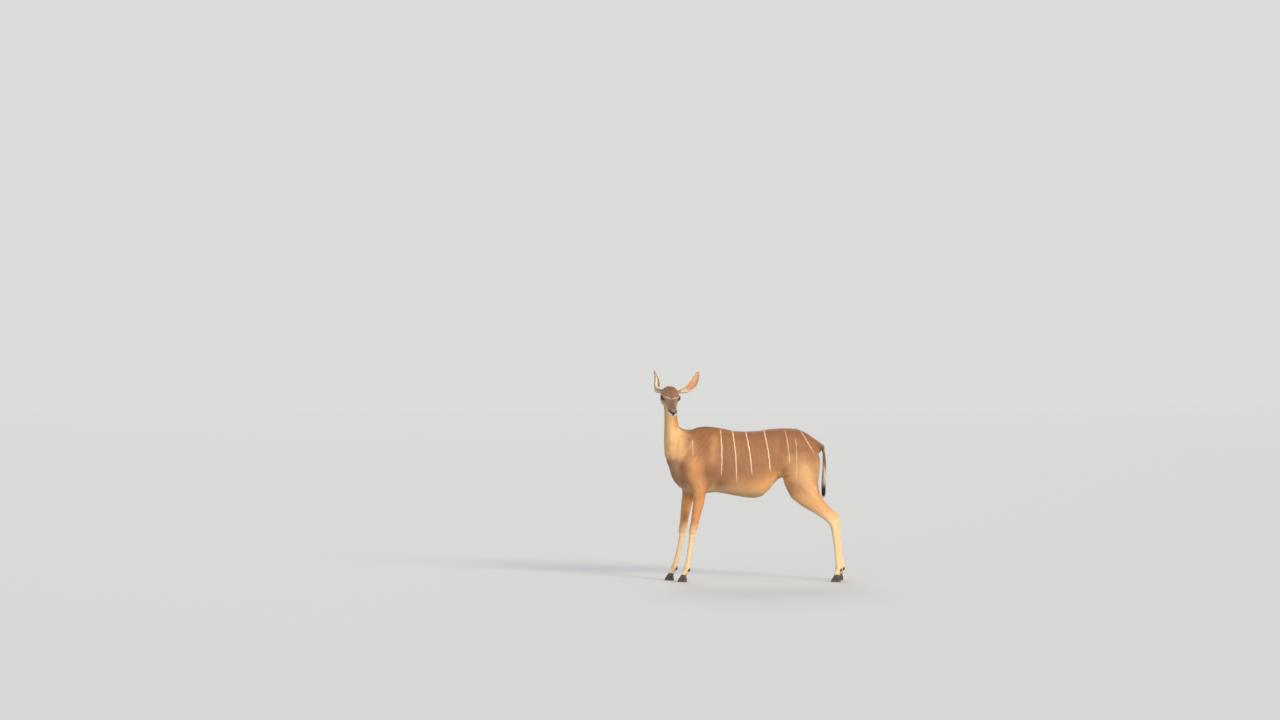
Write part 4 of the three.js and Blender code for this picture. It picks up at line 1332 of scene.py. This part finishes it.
def ring_faces(rings):
    """The faces of one tuft: left, right and upper corner in each ring, then the tip."""
    faces = [(0, 2, 1)]
    for r in range(0, 3 * (rings - 1), 3):
        left, right, top, left2, right2, top2 = range(r, r + 6)
        faces += [(left, left2, top2), (left, top2, top), (right, top, top2), (right, top2, right2)]
        faces += [(left, right, right2), (left, right2, left2)]
    left, right, top, tip = range(3 * (rings - 1), 3 * rings + 1)
    return np.array(faces + [(left, tip, top), (right, top, tip), (left, right, tip)])


def grown(roots, rings=1, rise=0.08, droop=0.0, fall=0.0):
    """Points, normals, corners of the map and shares along the tuft, for many tufts at once."""
    place, up, run = roots["place"], roots["normal"], roots["lie"]
    side = np.cross(up, run)
    long, wide = roots["length"][:, None], roots["width"][:, None]
    down = np.array([0, 0, -1.0])
    points, shares, across = [], [], []
    for ring in range(rings + 1):
        t = ring / rings
        middle = place + run * long * t + up * long * (rise * t - droop * t * t) + down * long * fall * t * t
        half = wide / 2 * (1 - t**1.6)
        if ring == rings:
            points.append(middle[:, None])
            across += [0.5]
            shares += [t]
            continue
        sunk = wide * ROOT_DEPTH * (ring == 0)
        thick = wide * THICKNESS * (1 - t)
        left, right = middle - side * half - up * sunk, middle + side * half - up * sunk
        points.append(np.stack([left, right, middle + up * thick], axis=1))
        across += [0.0, 1.0, 0.5]
        shares += [t, t, t + 0.12 * (ring == 0)]
    points = np.concatenate(points, axis=1)
    spread = unit(points - points.mean(axis=1, keepdims=True) + up[:, None] * 1e-6)
    normal = unit(up[:, None] * SKIN_NORMAL + spread * (1 - SKIN_NORMAL))
    shares = np.clip(shares, 0, 1)
    return points, normal, np.stack([across, shares], axis=1), shares


def map_onto(mesh, uv, corner):
    """Writes a map from one place for each point."""
    layer = mesh.uv_layers.new(name="OFBake")
    layer.uv.foreach_set("vector", uv.reshape(-1, 2)[corner].astype(np.float32).ravel())


def tuft_piece(name, roots, material, axis, **shape):
    """One piece of the coat: all its tufts in one mesh, with their markings and their map."""
    points, normal, corner, shares = grown(roots, **shape)
    uv = wrapped(roots["place"], axis)[:, None] + (corner - 0.5) * PATCH
    count, corners = points.shape[:2]
    first = np.arange(count)[:, None, None] * corners
    faces = (ring_faces(shape.get("rings", 1))[None] + first).reshape(-1, 3)
    mesh = bpy.data.meshes.new(name)
    mesh.vertices.add(count * corners)
    mesh.vertices.foreach_set("co", points.astype(np.float32).ravel())
    mesh.loops.add(faces.size)
    mesh.loops.foreach_set("vertex_index", faces.ravel().astype(np.int32))
    mesh.polygons.add(len(faces))
    mesh.polygons.foreach_set("loop_start", np.arange(0, faces.size, 3, dtype=np.int32))
    mesh.update(calc_edges=True)
    map_onto(mesh, uv, faces.ravel())
    store(mesh, "tip", "FLOAT", np.tile(shares, count))
    for mark, kind in MARKS.items():
        if mark not in ("tip", "phase"):
            store(mesh, mark, kind, np.repeat(roots[mark], corners, axis=0))
    own = stripe_phase(points.reshape(-1, 3))[0]
    own += (1 - OWN_STRIPE) * (np.repeat(roots["phase"], corners) - own)
    store(mesh, "phase", "FLOAT", own)
    store(mesh, "custom_normal", "FLOAT_VECTOR", normal.reshape(-1, 3))
    return shown(name, mesh, material)


print("A tuft of the short coat has", len(ring_faces(1)), "faces")

# %% [markdown]
# On the real skin, short hair stands closer together than long hair. So each root is drawn by lot on a
# triangle of the skin, and a triangle's chance grows with its area and as the coat on it gets shorter. The
# root takes its place, normal, lie and marks from the three corners round it. The lots come from one
# generator with a fixed seed, so the coat is the same each time. The map unwraps a piece like the label of
# a bottle.

# %% Where tufts take root
SEED = 7
WIDTH_SHARE = 0.095  # width of a tuft, of its length
chance = np.random.default_rng(SEED)
triangles = read_corners(skin_mesh).reshape(-1, 3)
corners = places[triangles]
slopes = np.cross(corners[:, 1] - corners[:, 0], corners[:, 2] - corners[:, 0])
areas = np.linalg.norm(slopes, axis=1) / 2
middles, face_normals = corners.mean(axis=1), unit(slopes)


def rooted(faces, count, longer=1.0, wider=1.0, ruffle=0.12, weight=None):
    """Roots spread over some triangles of the skin, closer together where the coat is shorter."""
    if weight is None:
        weight = (1 - bare[triangles[faces]].mean(axis=1)) / length[triangles[faces]].mean(axis=1) ** 2
    total = np.cumsum(areas[faces] * weight)
    picks = (np.arange(count) + chance.random(count)) / count * total[-1]
    chosen = triangles[faces[np.minimum(np.searchsorted(total, picks), len(faces) - 1)]]
    shares = chance.dirichlet((1, 1, 1), count)

    def blended(values):
        columns = values.reshape(len(values), -1)
        return np.einsum("nk,nkc->nc", shares, columns[chosen]).reshape(count, *values.shape[1:])

    root = {mark: blended(skin_marks[mark]) for mark in ("ground", "phase", "stripe_width", "stripe")}
    place, normal = blended(places), unit(blended(normals))
    straight = blended(lie)
    run = straight + ruffle * chance.normal(size=(count, 1)) * np.cross(normal, straight)
    long, scale = blended(length), chance.uniform(0.75, 1.2, count)
    root |= {"place": place, "root_place": place, "normal": normal, "lie": flattened(run, normal)}
    root |= {"length": long * scale * longer, "strand": chance.random(count)}
    root["width"] = long * WIDTH_SHARE * wider * chance.uniform(0.8, 1.2, count)
    return root


def wrapped(places, axis, step=0.02):
    """An unwrap like the label of a bottle: the angle round the middle line, and the way along it."""
    axis = unit(np.array(axis, dtype=float))
    across = unit(np.cross(axis, (0.31, 0.52, 0.80)))
    along = places @ axis
    at = np.arange(along.min(), along.max(), step)
    slices = [places[np.abs(along - a) <= step] for a in at]
    at = at[[len(part) > 0 for part in slices]]
    middles = np.array([(part.min(axis=0) + part.max(axis=0)) / 2 for part in slices if len(part)])
    off = places - np.stack([np.interp(along, at, column) for column in middles.T], axis=1)
    both = np.stack([np.arctan2(off @ np.cross(axis, across), off @ across), along], axis=1)
    low, high = both.min(axis=0), both.max(axis=0)
    return PATCH + (both - low) / (high - low) * (1 - 2 * PATCH)


def kept(piece):
    """Hangs the piece on the frame's root, the body it rides on, and prints its size."""
    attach(piece, "root")
    print(piece.name, "has", len(piece.data.polygons), "triangles")


print("The skin covers", areas.sum().round(2), "square metres")

# %% [markdown]
# The coat of the trunk is the largest, so it is made in six pieces, three on each side. The short hair of
# the flank lies so flat that what shows is the sheen of many tips, and a ragged edge where the light grazes
# the back and the belly. The neck has the same hair in one piece.

# %% Coat of the trunk and the neck
TRUNK_TUFTS, NECK_TUFTS = 25000, 30000
x, y, z = middles.T
head_faces = (on_head(middles) >= 0.5) & ~on_ears(middles)
ear_faces = on_ears(middles) & (on_head(middles) < 0.5)
tail_faces = on_tail(middles)
leg_faces = {leg: leg_points(middles, leg) for leg in LEGS}
rest = ~head_faces & ~ear_faces & ~tail_faces & ~np.any(list(leg_faces.values()), axis=0)
neck_faces = rest & (z + 0.9 * (-0.50 - x) > 1.06) & (x < -0.42)
for part, (low, high) in {"fore": (-9, -0.20), "barrel": (-0.20, 0.22), "hind": (0.22, 9)}.items():
    for side, turned in {"left": -1, "right": 1}.items():
        faces = np.flatnonzero(rest & ~neck_faces & (x >= low) & (x < high) & (turned * (y - SPINE_Y) > 0))
        piece = tuft_piece(f"coat_{part}_{side}", rooted(faces, TRUNK_TUFTS), coat_hair, (1, 0, 0))
        kept(piece)
roots = rooted(np.flatnonzero(neck_faces), NECK_TUFTS)
kept(tuft_piece("coat_neck", roots, coat_hair, (0, 0, 1)))

# %% [markdown]
# The legs have the same coat, only shorter, in one piece for each. It runs from the hooves to a level under
# the trunk, where the hair of the trunk meets it.

# %% Coat of the legs
LEG_TUFTS = 17000
for leg in LEGS:
    roots = rooted(np.flatnonzero(leg_faces[leg]), LEG_TUFTS)
    kept(tuft_piece(f"coat_{leg}", roots, coat_hair, (0, 0, 1)))

# %% [markdown]
# The head has the shortest hair, three millimetres on the muzzle and eight on the crown, so its tufts are
# the smallest. They leave the nose, the lips' edges and the lids bare. Each ear has a coat outside and a
# shorter one inside, with a fringe of long pale hairs that grow from the rim across the opening and round
# the stalk.

# %% Coat of the head and the ears
HEAD_TUFTS, EAR_TUFTS, FRINGE_TUFTS = 24000, 7000, 1300
FRINGE_CREAM = "f2e6cf"
for side, turned in {"left": 1, "right": -1}.items():
    faces = np.flatnonzero(head_faces & (turned * to_head(middles)[:, 1] > 0))
    kept(tuft_piece(f"coat_head_{side}", rooted(faces, HEAD_TUFTS), coat_hair, HEAD_AXES[0]))
for ear in EARS:
    chosen, share, edge, run, within = ear_frame(middles, face_normals, ear)
    axis = run.mean(axis=0)
    outer = tuft_piece(f"coat_{ear}_outside", rooted(chosen[within < 0.5], EAR_TUFTS), coat_hair, axis)
    inner = tuft_piece(f"coat_{ear}_inside", rooted(chosen[within >= 0.5], EAR_TUFTS), coat_hair, axis)
    rim = within * ramp(edge, 0.55, 0.85) * ramp(share, 0.06, 0.2) * (1 - ramp(share, 0.8, 0.98)) + 1e-6
    rim += 0.8 * (1 - ramp(share, 0.08, 0.26))  # the stalk of the ear
    roots = rooted(chosen, FRINGE_TUFTS, longer=2.6, wider=0.9, ruffle=0.25, weight=rim)
    roots["ground"] = np.tile(linear(FRINGE_CREAM), (FRINGE_TUFTS, 1))
    fringe = tuft_piece(f"fringe_{ear}", roots, coat_hair, axis, rings=3, rise=0.45, droop=0.25)
    for piece in (outer, inner, fringe):
        kept(piece)

# %% [markdown]
# A short dark crest stands along the nape and the withers. The tail is a slender dock under long hair:
# brown above, a white fringe below, and a black tuft at the end. The hairs of that tuft all run to one
# point. Tufts as long as these have several rings, so that they can bend.

# %% Crest and tail hair
CREST_TUFTS, TAIL_TUFTS, TIP_TUFTS = 3600, 2600, 1500
TAIL_END = np.array([*middle_of("tail")[:2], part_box("tail")[0][2] + 0.004])
TAIL_WIDTH, TIP_WIDTH = 0.0020, 0.0022  # of a tuft, in metres


def crest_at(places, normals):
    """How full the crest is: 1 along its middle, and less towards its edges and its two ends."""
    x, y, z = places.T
    on_nape = ramp(normals @ NAPE_WAY, 0.84, 0.99) * ramp(z, 1.10, 1.24)
    withers = bell(y, SPINE_Y, 0.010) * ramp(normals[:, 2], 0.4, 0.6)
    withers = withers * (1 - ramp(x, -0.34, -0.16)) * (z <= 1.24)
    return np.maximum(on_nape * (x < -0.50), withers)


crest = crest_at(middles, face_normals) * (rest | neck_faces)
faces = np.flatnonzero(crest > 0.02)
roots = rooted(faces, CREST_TUFTS, wider=0.9, ruffle=0.2, weight=crest[faces])
full = crest_at(roots["place"], roots["normal"])
roots["length"] *= 0.7 + 0.8 * full
lay(roots["ground"], "5a3c29", 0.65 * full)
kept(tuft_piece("crest", roots, coat_hair, (0.6, 0, 0.8), rings=3, rise=0.55, droop=0.28))

faces = np.flatnonzero(tail_faces & (z < 1.07))
roots = rooted(faces, TAIL_TUFTS, ruffle=0.06, weight=np.ones(len(faces)))
height = roots["place"][:, 2]
roots["length"] = 0.012 + 0.034 * (1 - ramp(height, 0.96, 1.06)) + 0.024 * (1 - ramp(height, 0.80, 0.98))
roots["length"] *= chance.uniform(0.7, 1.1, TAIL_TUFTS)
roots["width"] = np.full(TAIL_TUFTS, TAIL_WIDTH)
piece = tuft_piece("tail_hair", roots, coat_hair, (0, 0, 1), rings=4, rise=0.20, droop=0.10, fall=0.10)
kept(piece)

faces = np.flatnonzero(tail_faces & (z < 0.815))
roots = rooted(faces, TIP_TUFTS, ruffle=0.04, weight=np.ones(len(faces)))
way = TAIL_END + chance.normal(size=(TIP_TUFTS, 3)) * [0.006, 0.006, 0.008] - roots["place"]
roots["length"] = np.linalg.norm(way, axis=1) * chance.uniform(0.65, 1.0, TIP_TUFTS)
roots["lie"] = unit(way)
roots["width"] = np.full(TIP_TUFTS, TIP_WIDTH)
roots["ground"] = np.tile(linear(TAIL_BLACK), (TIP_TUFTS, 1))
kept(tuft_piece("tail_tuft", roots, coat_hair, (0, 0, 1), rings=4, rise=0.10, droop=0.06))

# %% [markdown]
# The eye is a ball with a slight bulge in front, the cornea. An antelope's iris is so dark and wide that
# hardly any white shows, and its pupil is a level oval. The ball's mesh keeps, at each point, the angles
# along and across the opening of the lids, so the iris and the pupil are drawn true on the curved front.

# %% Eyes
CORNEA, CORNEA_WIDTH = 0.0008, 24  # its height in metres and its width in degrees
IRIS_EDGE = 34  # degrees from the middle of the pupil
PUPIL = (17, 10)  # half its length and half its height, in degrees
IRIS_COLOURS, ROUND_IRIS, PUPIL_COLOUR = ("150b07", "381e10"), "120c0a", "060608"


def eye_finish(name):
    """Wet and glassy: the cornea's gloss over a brown iris with fine rays."""
    material, shader = new_material(name)
    sight = add(material, "ShaderNodeAttribute", attribute_name="sight").outputs["Vector"]
    parts = add(material, "ShaderNodeSeparateXYZ", {0: sight}).outputs
    oval = {0: sight, 1: (1 / PUPIL[0], 1 / PUPIL[1], 0)}
    squashed = add(material, "ShaderNodeVectorMath", oval, operation="MULTIPLY")
    off = add(material, "ShaderNodeVectorMath", {0: squashed.outputs[0]}, operation="LENGTH").outputs["Value"]
    turn = worked_out(material, "ARCTAN2", parts["X"], parts["Y"])
    ray = add(material, "ShaderNodeCombineXYZ", {0: worked_out(material, "MULTIPLY", turn, 14.0)})
    rays = add(material, "ShaderNodeTexNoise", {"Vector": ray.outputs[0], "Scale": 1.0, "Detail": 2.0})
    iris = blend(material, rays.outputs["Fac"], *IRIS_COLOURS)
    edge = {"Value": parts["Z"], "From Min": IRIS_EDGE - 5, "From Max": IRIS_EDGE + 1}
    beyond = add(material, "ShaderNodeMapRange", edge).outputs["Result"]
    ball = blend(material, beyond, iris, ROUND_IRIS)
    hole = {"Value": off, "From Min": 1.12, "From Max": 0.92}
    pupil = add(material, "ShaderNodeMapRange", hole, interpolation_type="SMOOTHSTEP").outputs["Result"]
    colour = blend(material, pupil, ball, PUPIL_COLOUR)
    material.node_tree.links.new(colour, shader.inputs["Base Color"])
    set_sockets(shader, Roughness=0.08, IOR=1.376, Coat_Weight=0.6, Coat_Roughness=0.02)
    return material


wet_eye = eye_finish("wet cornea over a dark iris")
for eye, side, node in zip(eye_places, (1, -1), EYES):
    body = bmesh.new()
    bmesh.ops.create_icosphere(body, subdivisions=6, radius=1)
    mesh = as_mesh(body, node)
    way, axes = read_places(mesh), eye_axes(side)
    angle = np.degrees(np.arccos(np.clip(way[:, 2], -1, 1)))
    radius = EYE_BALL - 0.0002 + CORNEA * bell(angle, 0, CORNEA_WIDTH)
    write_places(mesh, eye + (way * radius[:, None]) @ axes)
    if np.linalg.det(axes) < 0:
        mesh.flip_normals()
    flat = unit(way[:, :2]) * angle[:, None]
    store(mesh, "sight", "FLOAT_VECTOR", np.stack([flat[:, 0], flat[:, 1], angle], axis=1))
    piece = shown(f"ball_of_{node}", mesh, wet_eye)
    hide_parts(node)
    kept(piece)

# %% [markdown]
# Each hoof is a wall of dark horn that grows down from the rim of hair, a few millimetres a month, and keeps
# a faint ring for each season. The solid gives the claw's outline. A copy is remeshed finely and smoothed,
# the rings are pressed into its wall, and the sole is kept flat on the floor.

# %% Hooves and dewclaws
HORN_VOXEL = 0.0018
SOLE = 0.0012  # points lower than this lie on the floor
HORN_COLOURS, DUST = ("2a2320", "3b312b"), "8a7762"
DEWCLAW_TAPER = 0.45  # how much narrower a dewclaw is at its lower end
RING_SPACING, RING_DEPTH = 0.0068, 0.00022


def horn_finish(name):
    """Matt and slightly fibrous, scuffed pale where it meets the ground."""
    material, shader = new_material(name)
    links = material.node_tree.links
    place = add(material, "ShaderNodeTexCoord").outputs["Object"]
    long = add(material, "ShaderNodeMapping", {"Vector": place, "Scale": (1, 1, 0.08)}).outputs["Vector"]
    fibres = varied(material, long, 0.0016, 3, 0, 1)
    horn = blend(material, fibres, *HORN_COLOURS)
    height = add(material, "ShaderNodeSeparateXYZ", {0: place}).outputs["Z"]
    low = {"Value": height, "From Min": 0.016, "From Max": 0.0}
    worn = add(material, "ShaderNodeMapRange", low).outputs["Result"]
    scuffs = worked_out(material, "MULTIPLY", worn, varied(material, place, 0.006, 3, 0.0, 0.8))
    links.new(blend(material, scuffs, horn, DUST), shader.inputs["Base Color"])
    links.new(varied(material, long, 0.004, 2, 0.38, 0.58), shader.inputs["Roughness"])
    bump = add(material, "ShaderNodeBump", {"Height": fibres, "Strength": 0.25, "Distance": 0.0003})
    links.new(bump.outputs["Normal"], shader.inputs["Normal"])
    set_sockets(shader, IOR=KERATIN_IOR, Specular_IOR_Level=0.5)
    return material


horn = horn_finish("dark hoof horn")
for node in [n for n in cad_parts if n.startswith(("hoof_", "dewclaw_"))]:
    mesh = remeshed(merged_copy(node), HORN_VOXEL)
    spots, joins = read_places(mesh), read_edges(mesh)
    spots = smoothed(spots, joins, np.full(len(spots), 0.5), 8)
    write_places(mesh, spots)
    slope = normals_of(mesh)
    toe, rise = (spots - spots.mean(axis=0))[:, [0, 2]].T
    ring = np.sin((rise + 0.30 * toe + 0.0016 * np.sin(rise * 260)) / RING_SPACING * 2 * math.pi)
    wall = 1 - ramp(np.abs(slope[:, 2]), 0.5, 0.8)
    spots += slope * (RING_DEPTH * ring * wall)[:, None]
    if node.startswith("hoof_"):
        spots[spots[:, 2] < SOLE, 2] = 0
    else:
        narrow = 1 - DEWCLAW_TAPER * (1 - ramp(rise, rise.min(), rise.max()))
        spots[:, :2] += (narrow[:, None] - 1) * (spots - spots.mean(axis=0))[:, :2]
    write_places(mesh, spots)
    piece = shown(f"horn_of_{node}", mesh, horn)
    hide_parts(node)
    kept(piece)

# %% [markdown]
# Lashes and whiskers are single stout hairs. Each is a slender spike with a bend, and one mesh of it, a unit
# long, serves a whole row. Three sides are enough for a hair that is less than half a millimetre thick.

# %% One stiff hair
HAIR_SIDES, HAIR_RINGS = 3, 4


def single_hair(name, bend, slim):
    """One closed hair of unit length along Z that bends towards -Y, slim in radius at its root."""
    body = bmesh.new()
    rings = []
    for ring in range(HAIR_RINGS):
        t = ring / HAIR_RINGS
        turns = np.arange(HAIR_SIDES) / HAIR_SIDES * 2 * math.pi
        radius = slim * (1 - t) ** 0.7
        circle = [(radius * math.cos(a), radius * math.sin(a) - bend * t * t, t) for a in turns]
        rings.append([body.verts.new(place) for place in circle])
    tip = body.verts.new((0, -bend, 1))
    for low, high in zip(rings, rings[1:]):
        for k in range(HAIR_SIDES):
            body.faces.new((low[k], low[k - HAIR_SIDES + 1], high[k - HAIR_SIDES + 1], high[k]))
    for k in range(HAIR_SIDES):
        body.faces.new((rings[-1][k], rings[-1][k - HAIR_SIDES + 1], tip))
    body.faces.new(rings[0][::-1])
    bmesh.ops.triangulate(body, faces=body.faces[:])
    return bpy.data.objects.new(name, as_mesh(body, name))


stiff_hair, shader = new_material("stiff dark hair")
place = add(stiff_hair, "ShaderNodeTexCoord").outputs["Object"]
tint = blend(stiff_hair, varied(stiff_hair, place, 0.004, 1, 0, 1), "1f1814", "3a2d25")
stiff_hair.node_tree.links.new(tint, shader.inputs["Base Color"])
set_sockets(shader, Roughness=0.4, IOR=KERATIN_IOR)
lash, whisker = single_hair("lash", 0.22, 0.011), single_hair("whisker", 0.12, 0.0055)
print("A stiff hair has", len(lash.data.polygons), "triangles")

# %% [markdown]
# The hairs stand in rows, so Geometry Nodes set them. A chain of points gives the row, and each point keeps
# the way its hair grows. The tree turns the chain into a curve, spaces points evenly along it, sets one hair
# on each, turned to its way and a little longer or shorter than the next, and makes them real. The result
# is a plain mesh.

# %% A row of hairs
SHORTEST_HAIR = 0.65  # of the longest in the row


def row_of_hairs_tree(name, material):
    """The tree, with the hair, the count, the length and the seed as its inputs."""
    tree = bpy.data.node_groups.new(name, "GeometryNodeTree")
    tree.interface.new_socket("Geometry", in_out="INPUT", socket_type="NodeSocketGeometry")
    tree.interface.new_socket("Geometry", in_out="OUTPUT", socket_type="NodeSocketGeometry")
    inputs = {}
    for label, kind in {"Hair": "Object", "Count": "Int", "Length": "Float", "Seed": "Int"}.items():
        socket = tree.interface.new_socket(label, in_out="INPUT", socket_type=f"NodeSocket{kind}")
        inputs[label] = socket.identifier
    nodes = {}
    for label, kind in {
        "in": "NodeGroupInput",
        "curve": "GeometryNodeMeshToCurve",
        "spaced": "GeometryNodeResampleCurve",
        "hair": "GeometryNodeObjectInfo",
        "way": "GeometryNodeInputNamedAttribute",
        "turn": "FunctionNodeAlignRotationToVector",
        "chance": "FunctionNodeRandomValue",
        "size": "ShaderNodeMath",
        "set": "GeometryNodeInstanceOnPoints",
        "real": "GeometryNodeRealizeInstances",
        "finish": "GeometryNodeSetMaterial",
        "out": "NodeGroupOutput",
    }.items():
        nodes[label] = tree.nodes.new(kind)
    nodes["way"].data_type = "FLOAT_VECTOR"
    nodes["way"].inputs["Name"].default_value = "way"
    nodes["turn"].axis = "Z"
    nodes["size"].operation = "MULTIPLY"
    nodes["chance"].inputs[2].default_value = SHORTEST_HAIR
    nodes["chance"].inputs[3].default_value = 1.0
    nodes["finish"].inputs["Material"].default_value = material
    for start, output, end, entry in [
        ("in", "Geometry", "curve", "Mesh"),
        ("curve", "Curve", "spaced", "Curve"),
        ("in", "Count", "spaced", "Count"),
        ("in", "Hair", "hair", "Object"),
        ("in", "Seed", "chance", "Seed"),
        ("chance", 1, "size", 0),
        ("in", "Length", "size", 1),
        ("way", "Attribute", "turn", "Vector"),
        ("spaced", "Curve", "set", "Points"),
        ("hair", "Geometry", "set", "Instance"),
        ("turn", "Rotation", "set", "Rotation"),
        ("size", 0, "set", "Scale"),
        ("set", "Instances", "real", "Geometry"),
        ("real", "Geometry", "finish", "Geometry"),
        ("finish", "Geometry", "out", "Geometry"),
    ]:
        tree.links.new(nodes[start].outputs[output], nodes[end].inputs[entry])
    return tree, inputs


def row_of_hairs(path, ways, tree, inputs, **values):
    """The plain mesh that the tree makes of one row."""
    mesh = bpy.data.meshes.new("row")
    mesh.from_pydata(path.tolist(), [(i, i + 1) for i in range(len(path) - 1)], [])
    store(mesh, "way", "FLOAT_VECTOR", unit(ways))
    holder = placed("row", mesh)
    grower = holder.modifiers.new("row of hairs", "NODES")
    grower.node_group = tree
    for label, value in values.items():
        grower[inputs[label]] = value
    return made_by_modifiers(holder)


def joined(meshes):
    body = bmesh.new()
    for mesh in meshes:
        body.from_mesh(mesh)
    return as_mesh(body, "joined")


def mapped(mesh, axis):
    """The mesh with the same map as the tufts have: a small patch for each hair at its root's place."""
    across = [k / (HAIR_SIDES - 1) for k in range(HAIR_SIDES)] * HAIR_RINGS + [0.5]
    along = [ring / HAIR_RINGS for ring in range(HAIR_RINGS) for k in range(HAIR_SIDES)] + [1.0]
    patch = (np.stack([across, along], axis=1) - 0.5) * PATCH
    roots = read_places(mesh).reshape(-1, len(patch), 3)[:, 0]
    map_onto(mesh, wrapped(roots, axis)[:, None] + patch, read_corners(mesh))
    return mesh


tree, inputs = row_of_hairs_tree("row of hairs", stiff_hair)
print("The tree takes", ", ".join(inputs))

# %% [markdown]
# The lashes of an antelope are long and dark, longest on the upper lid. Each row follows the edge of its lid
# on the ball, and its hairs point out of the eye and away from the opening.

# %% Lashes
LASH_ROWS = [(1, "over", 52, 0.011), (-1, "under", 26, 0.006)]  # up or down, lid, hairs, metres long
LASH_SPAN = 0.86  # of the opening's length

for eye, side, node in zip(eye_places, (1, -1), EYES):
    rows = []
    for sign, lid, count, long in LASH_ROWS:
        along = np.linspace(-LASH_SPAN, LASH_SPAN, 30) * OPENING["half_length"]
        up = sign * (lid_height(along, OPENING[lid]) + 0.7)
        front = np.sqrt((EYE_BALL * 1000) ** 2 - along**2 - up**2)
        way = unit(np.stack([along, up, front], axis=1))
        path = eye + way @ eye_axes(side) * (RIM + 0.0002)
        ways = (way + [0, 0.35 * sign, 0.55]) @ eye_axes(side)
        rows.append(row_of_hairs(path, ways, tree, inputs, Hair=lash, Count=count, Length=long, Seed=SEED))
    lashes = mapped(joined(rows), HEAD_AXES[0])
    kept(shown(f"lashes_of_{node}", lashes, stiff_hair))

# %% [markdown]
# Whiskers stand in short rows on both lips. Their rows are drawn near the skin and moved onto it, and each
# hair points away from the middle of the muzzle, back and down a little.

# %% Whiskers
WHISKER_ROWS = [  # a line in the head's frame, how many hairs, and their length in metres
    ([(322, 18, -15), (300, 30, -16), (276, 33, -16)], 8, 0.030),
    ([(326, 14, -10), (306, 32, -8)], 5, 0.026),
    ([(318, 10, -40), (290, 22, -46), (262, 22, -50)], 8, 0.028),
]
MUZZLE_MIDDLE = np.array([290, 0, -20])

rows = []
skin_points = to_head(places)
for turned in (1, -1):
    for line, count, long in WHISKER_ROWS:
        path = laid_on(skin_points, np.array(line) * [1, turned, 1], 8)
        ways = (unit(path - MUZZLE_MIDDLE) + [-0.2, 0, -0.25]) @ HEAD_AXES
        values = {"Hair": whisker, "Count": count, "Length": long, "Seed": SEED + turned}
        rows.append(row_of_hairs(from_head(path), ways, tree, inputs, **values))
kept(shown("whiskers", mapped(joined(rows), HEAD_AXES[0]), stiff_hair))
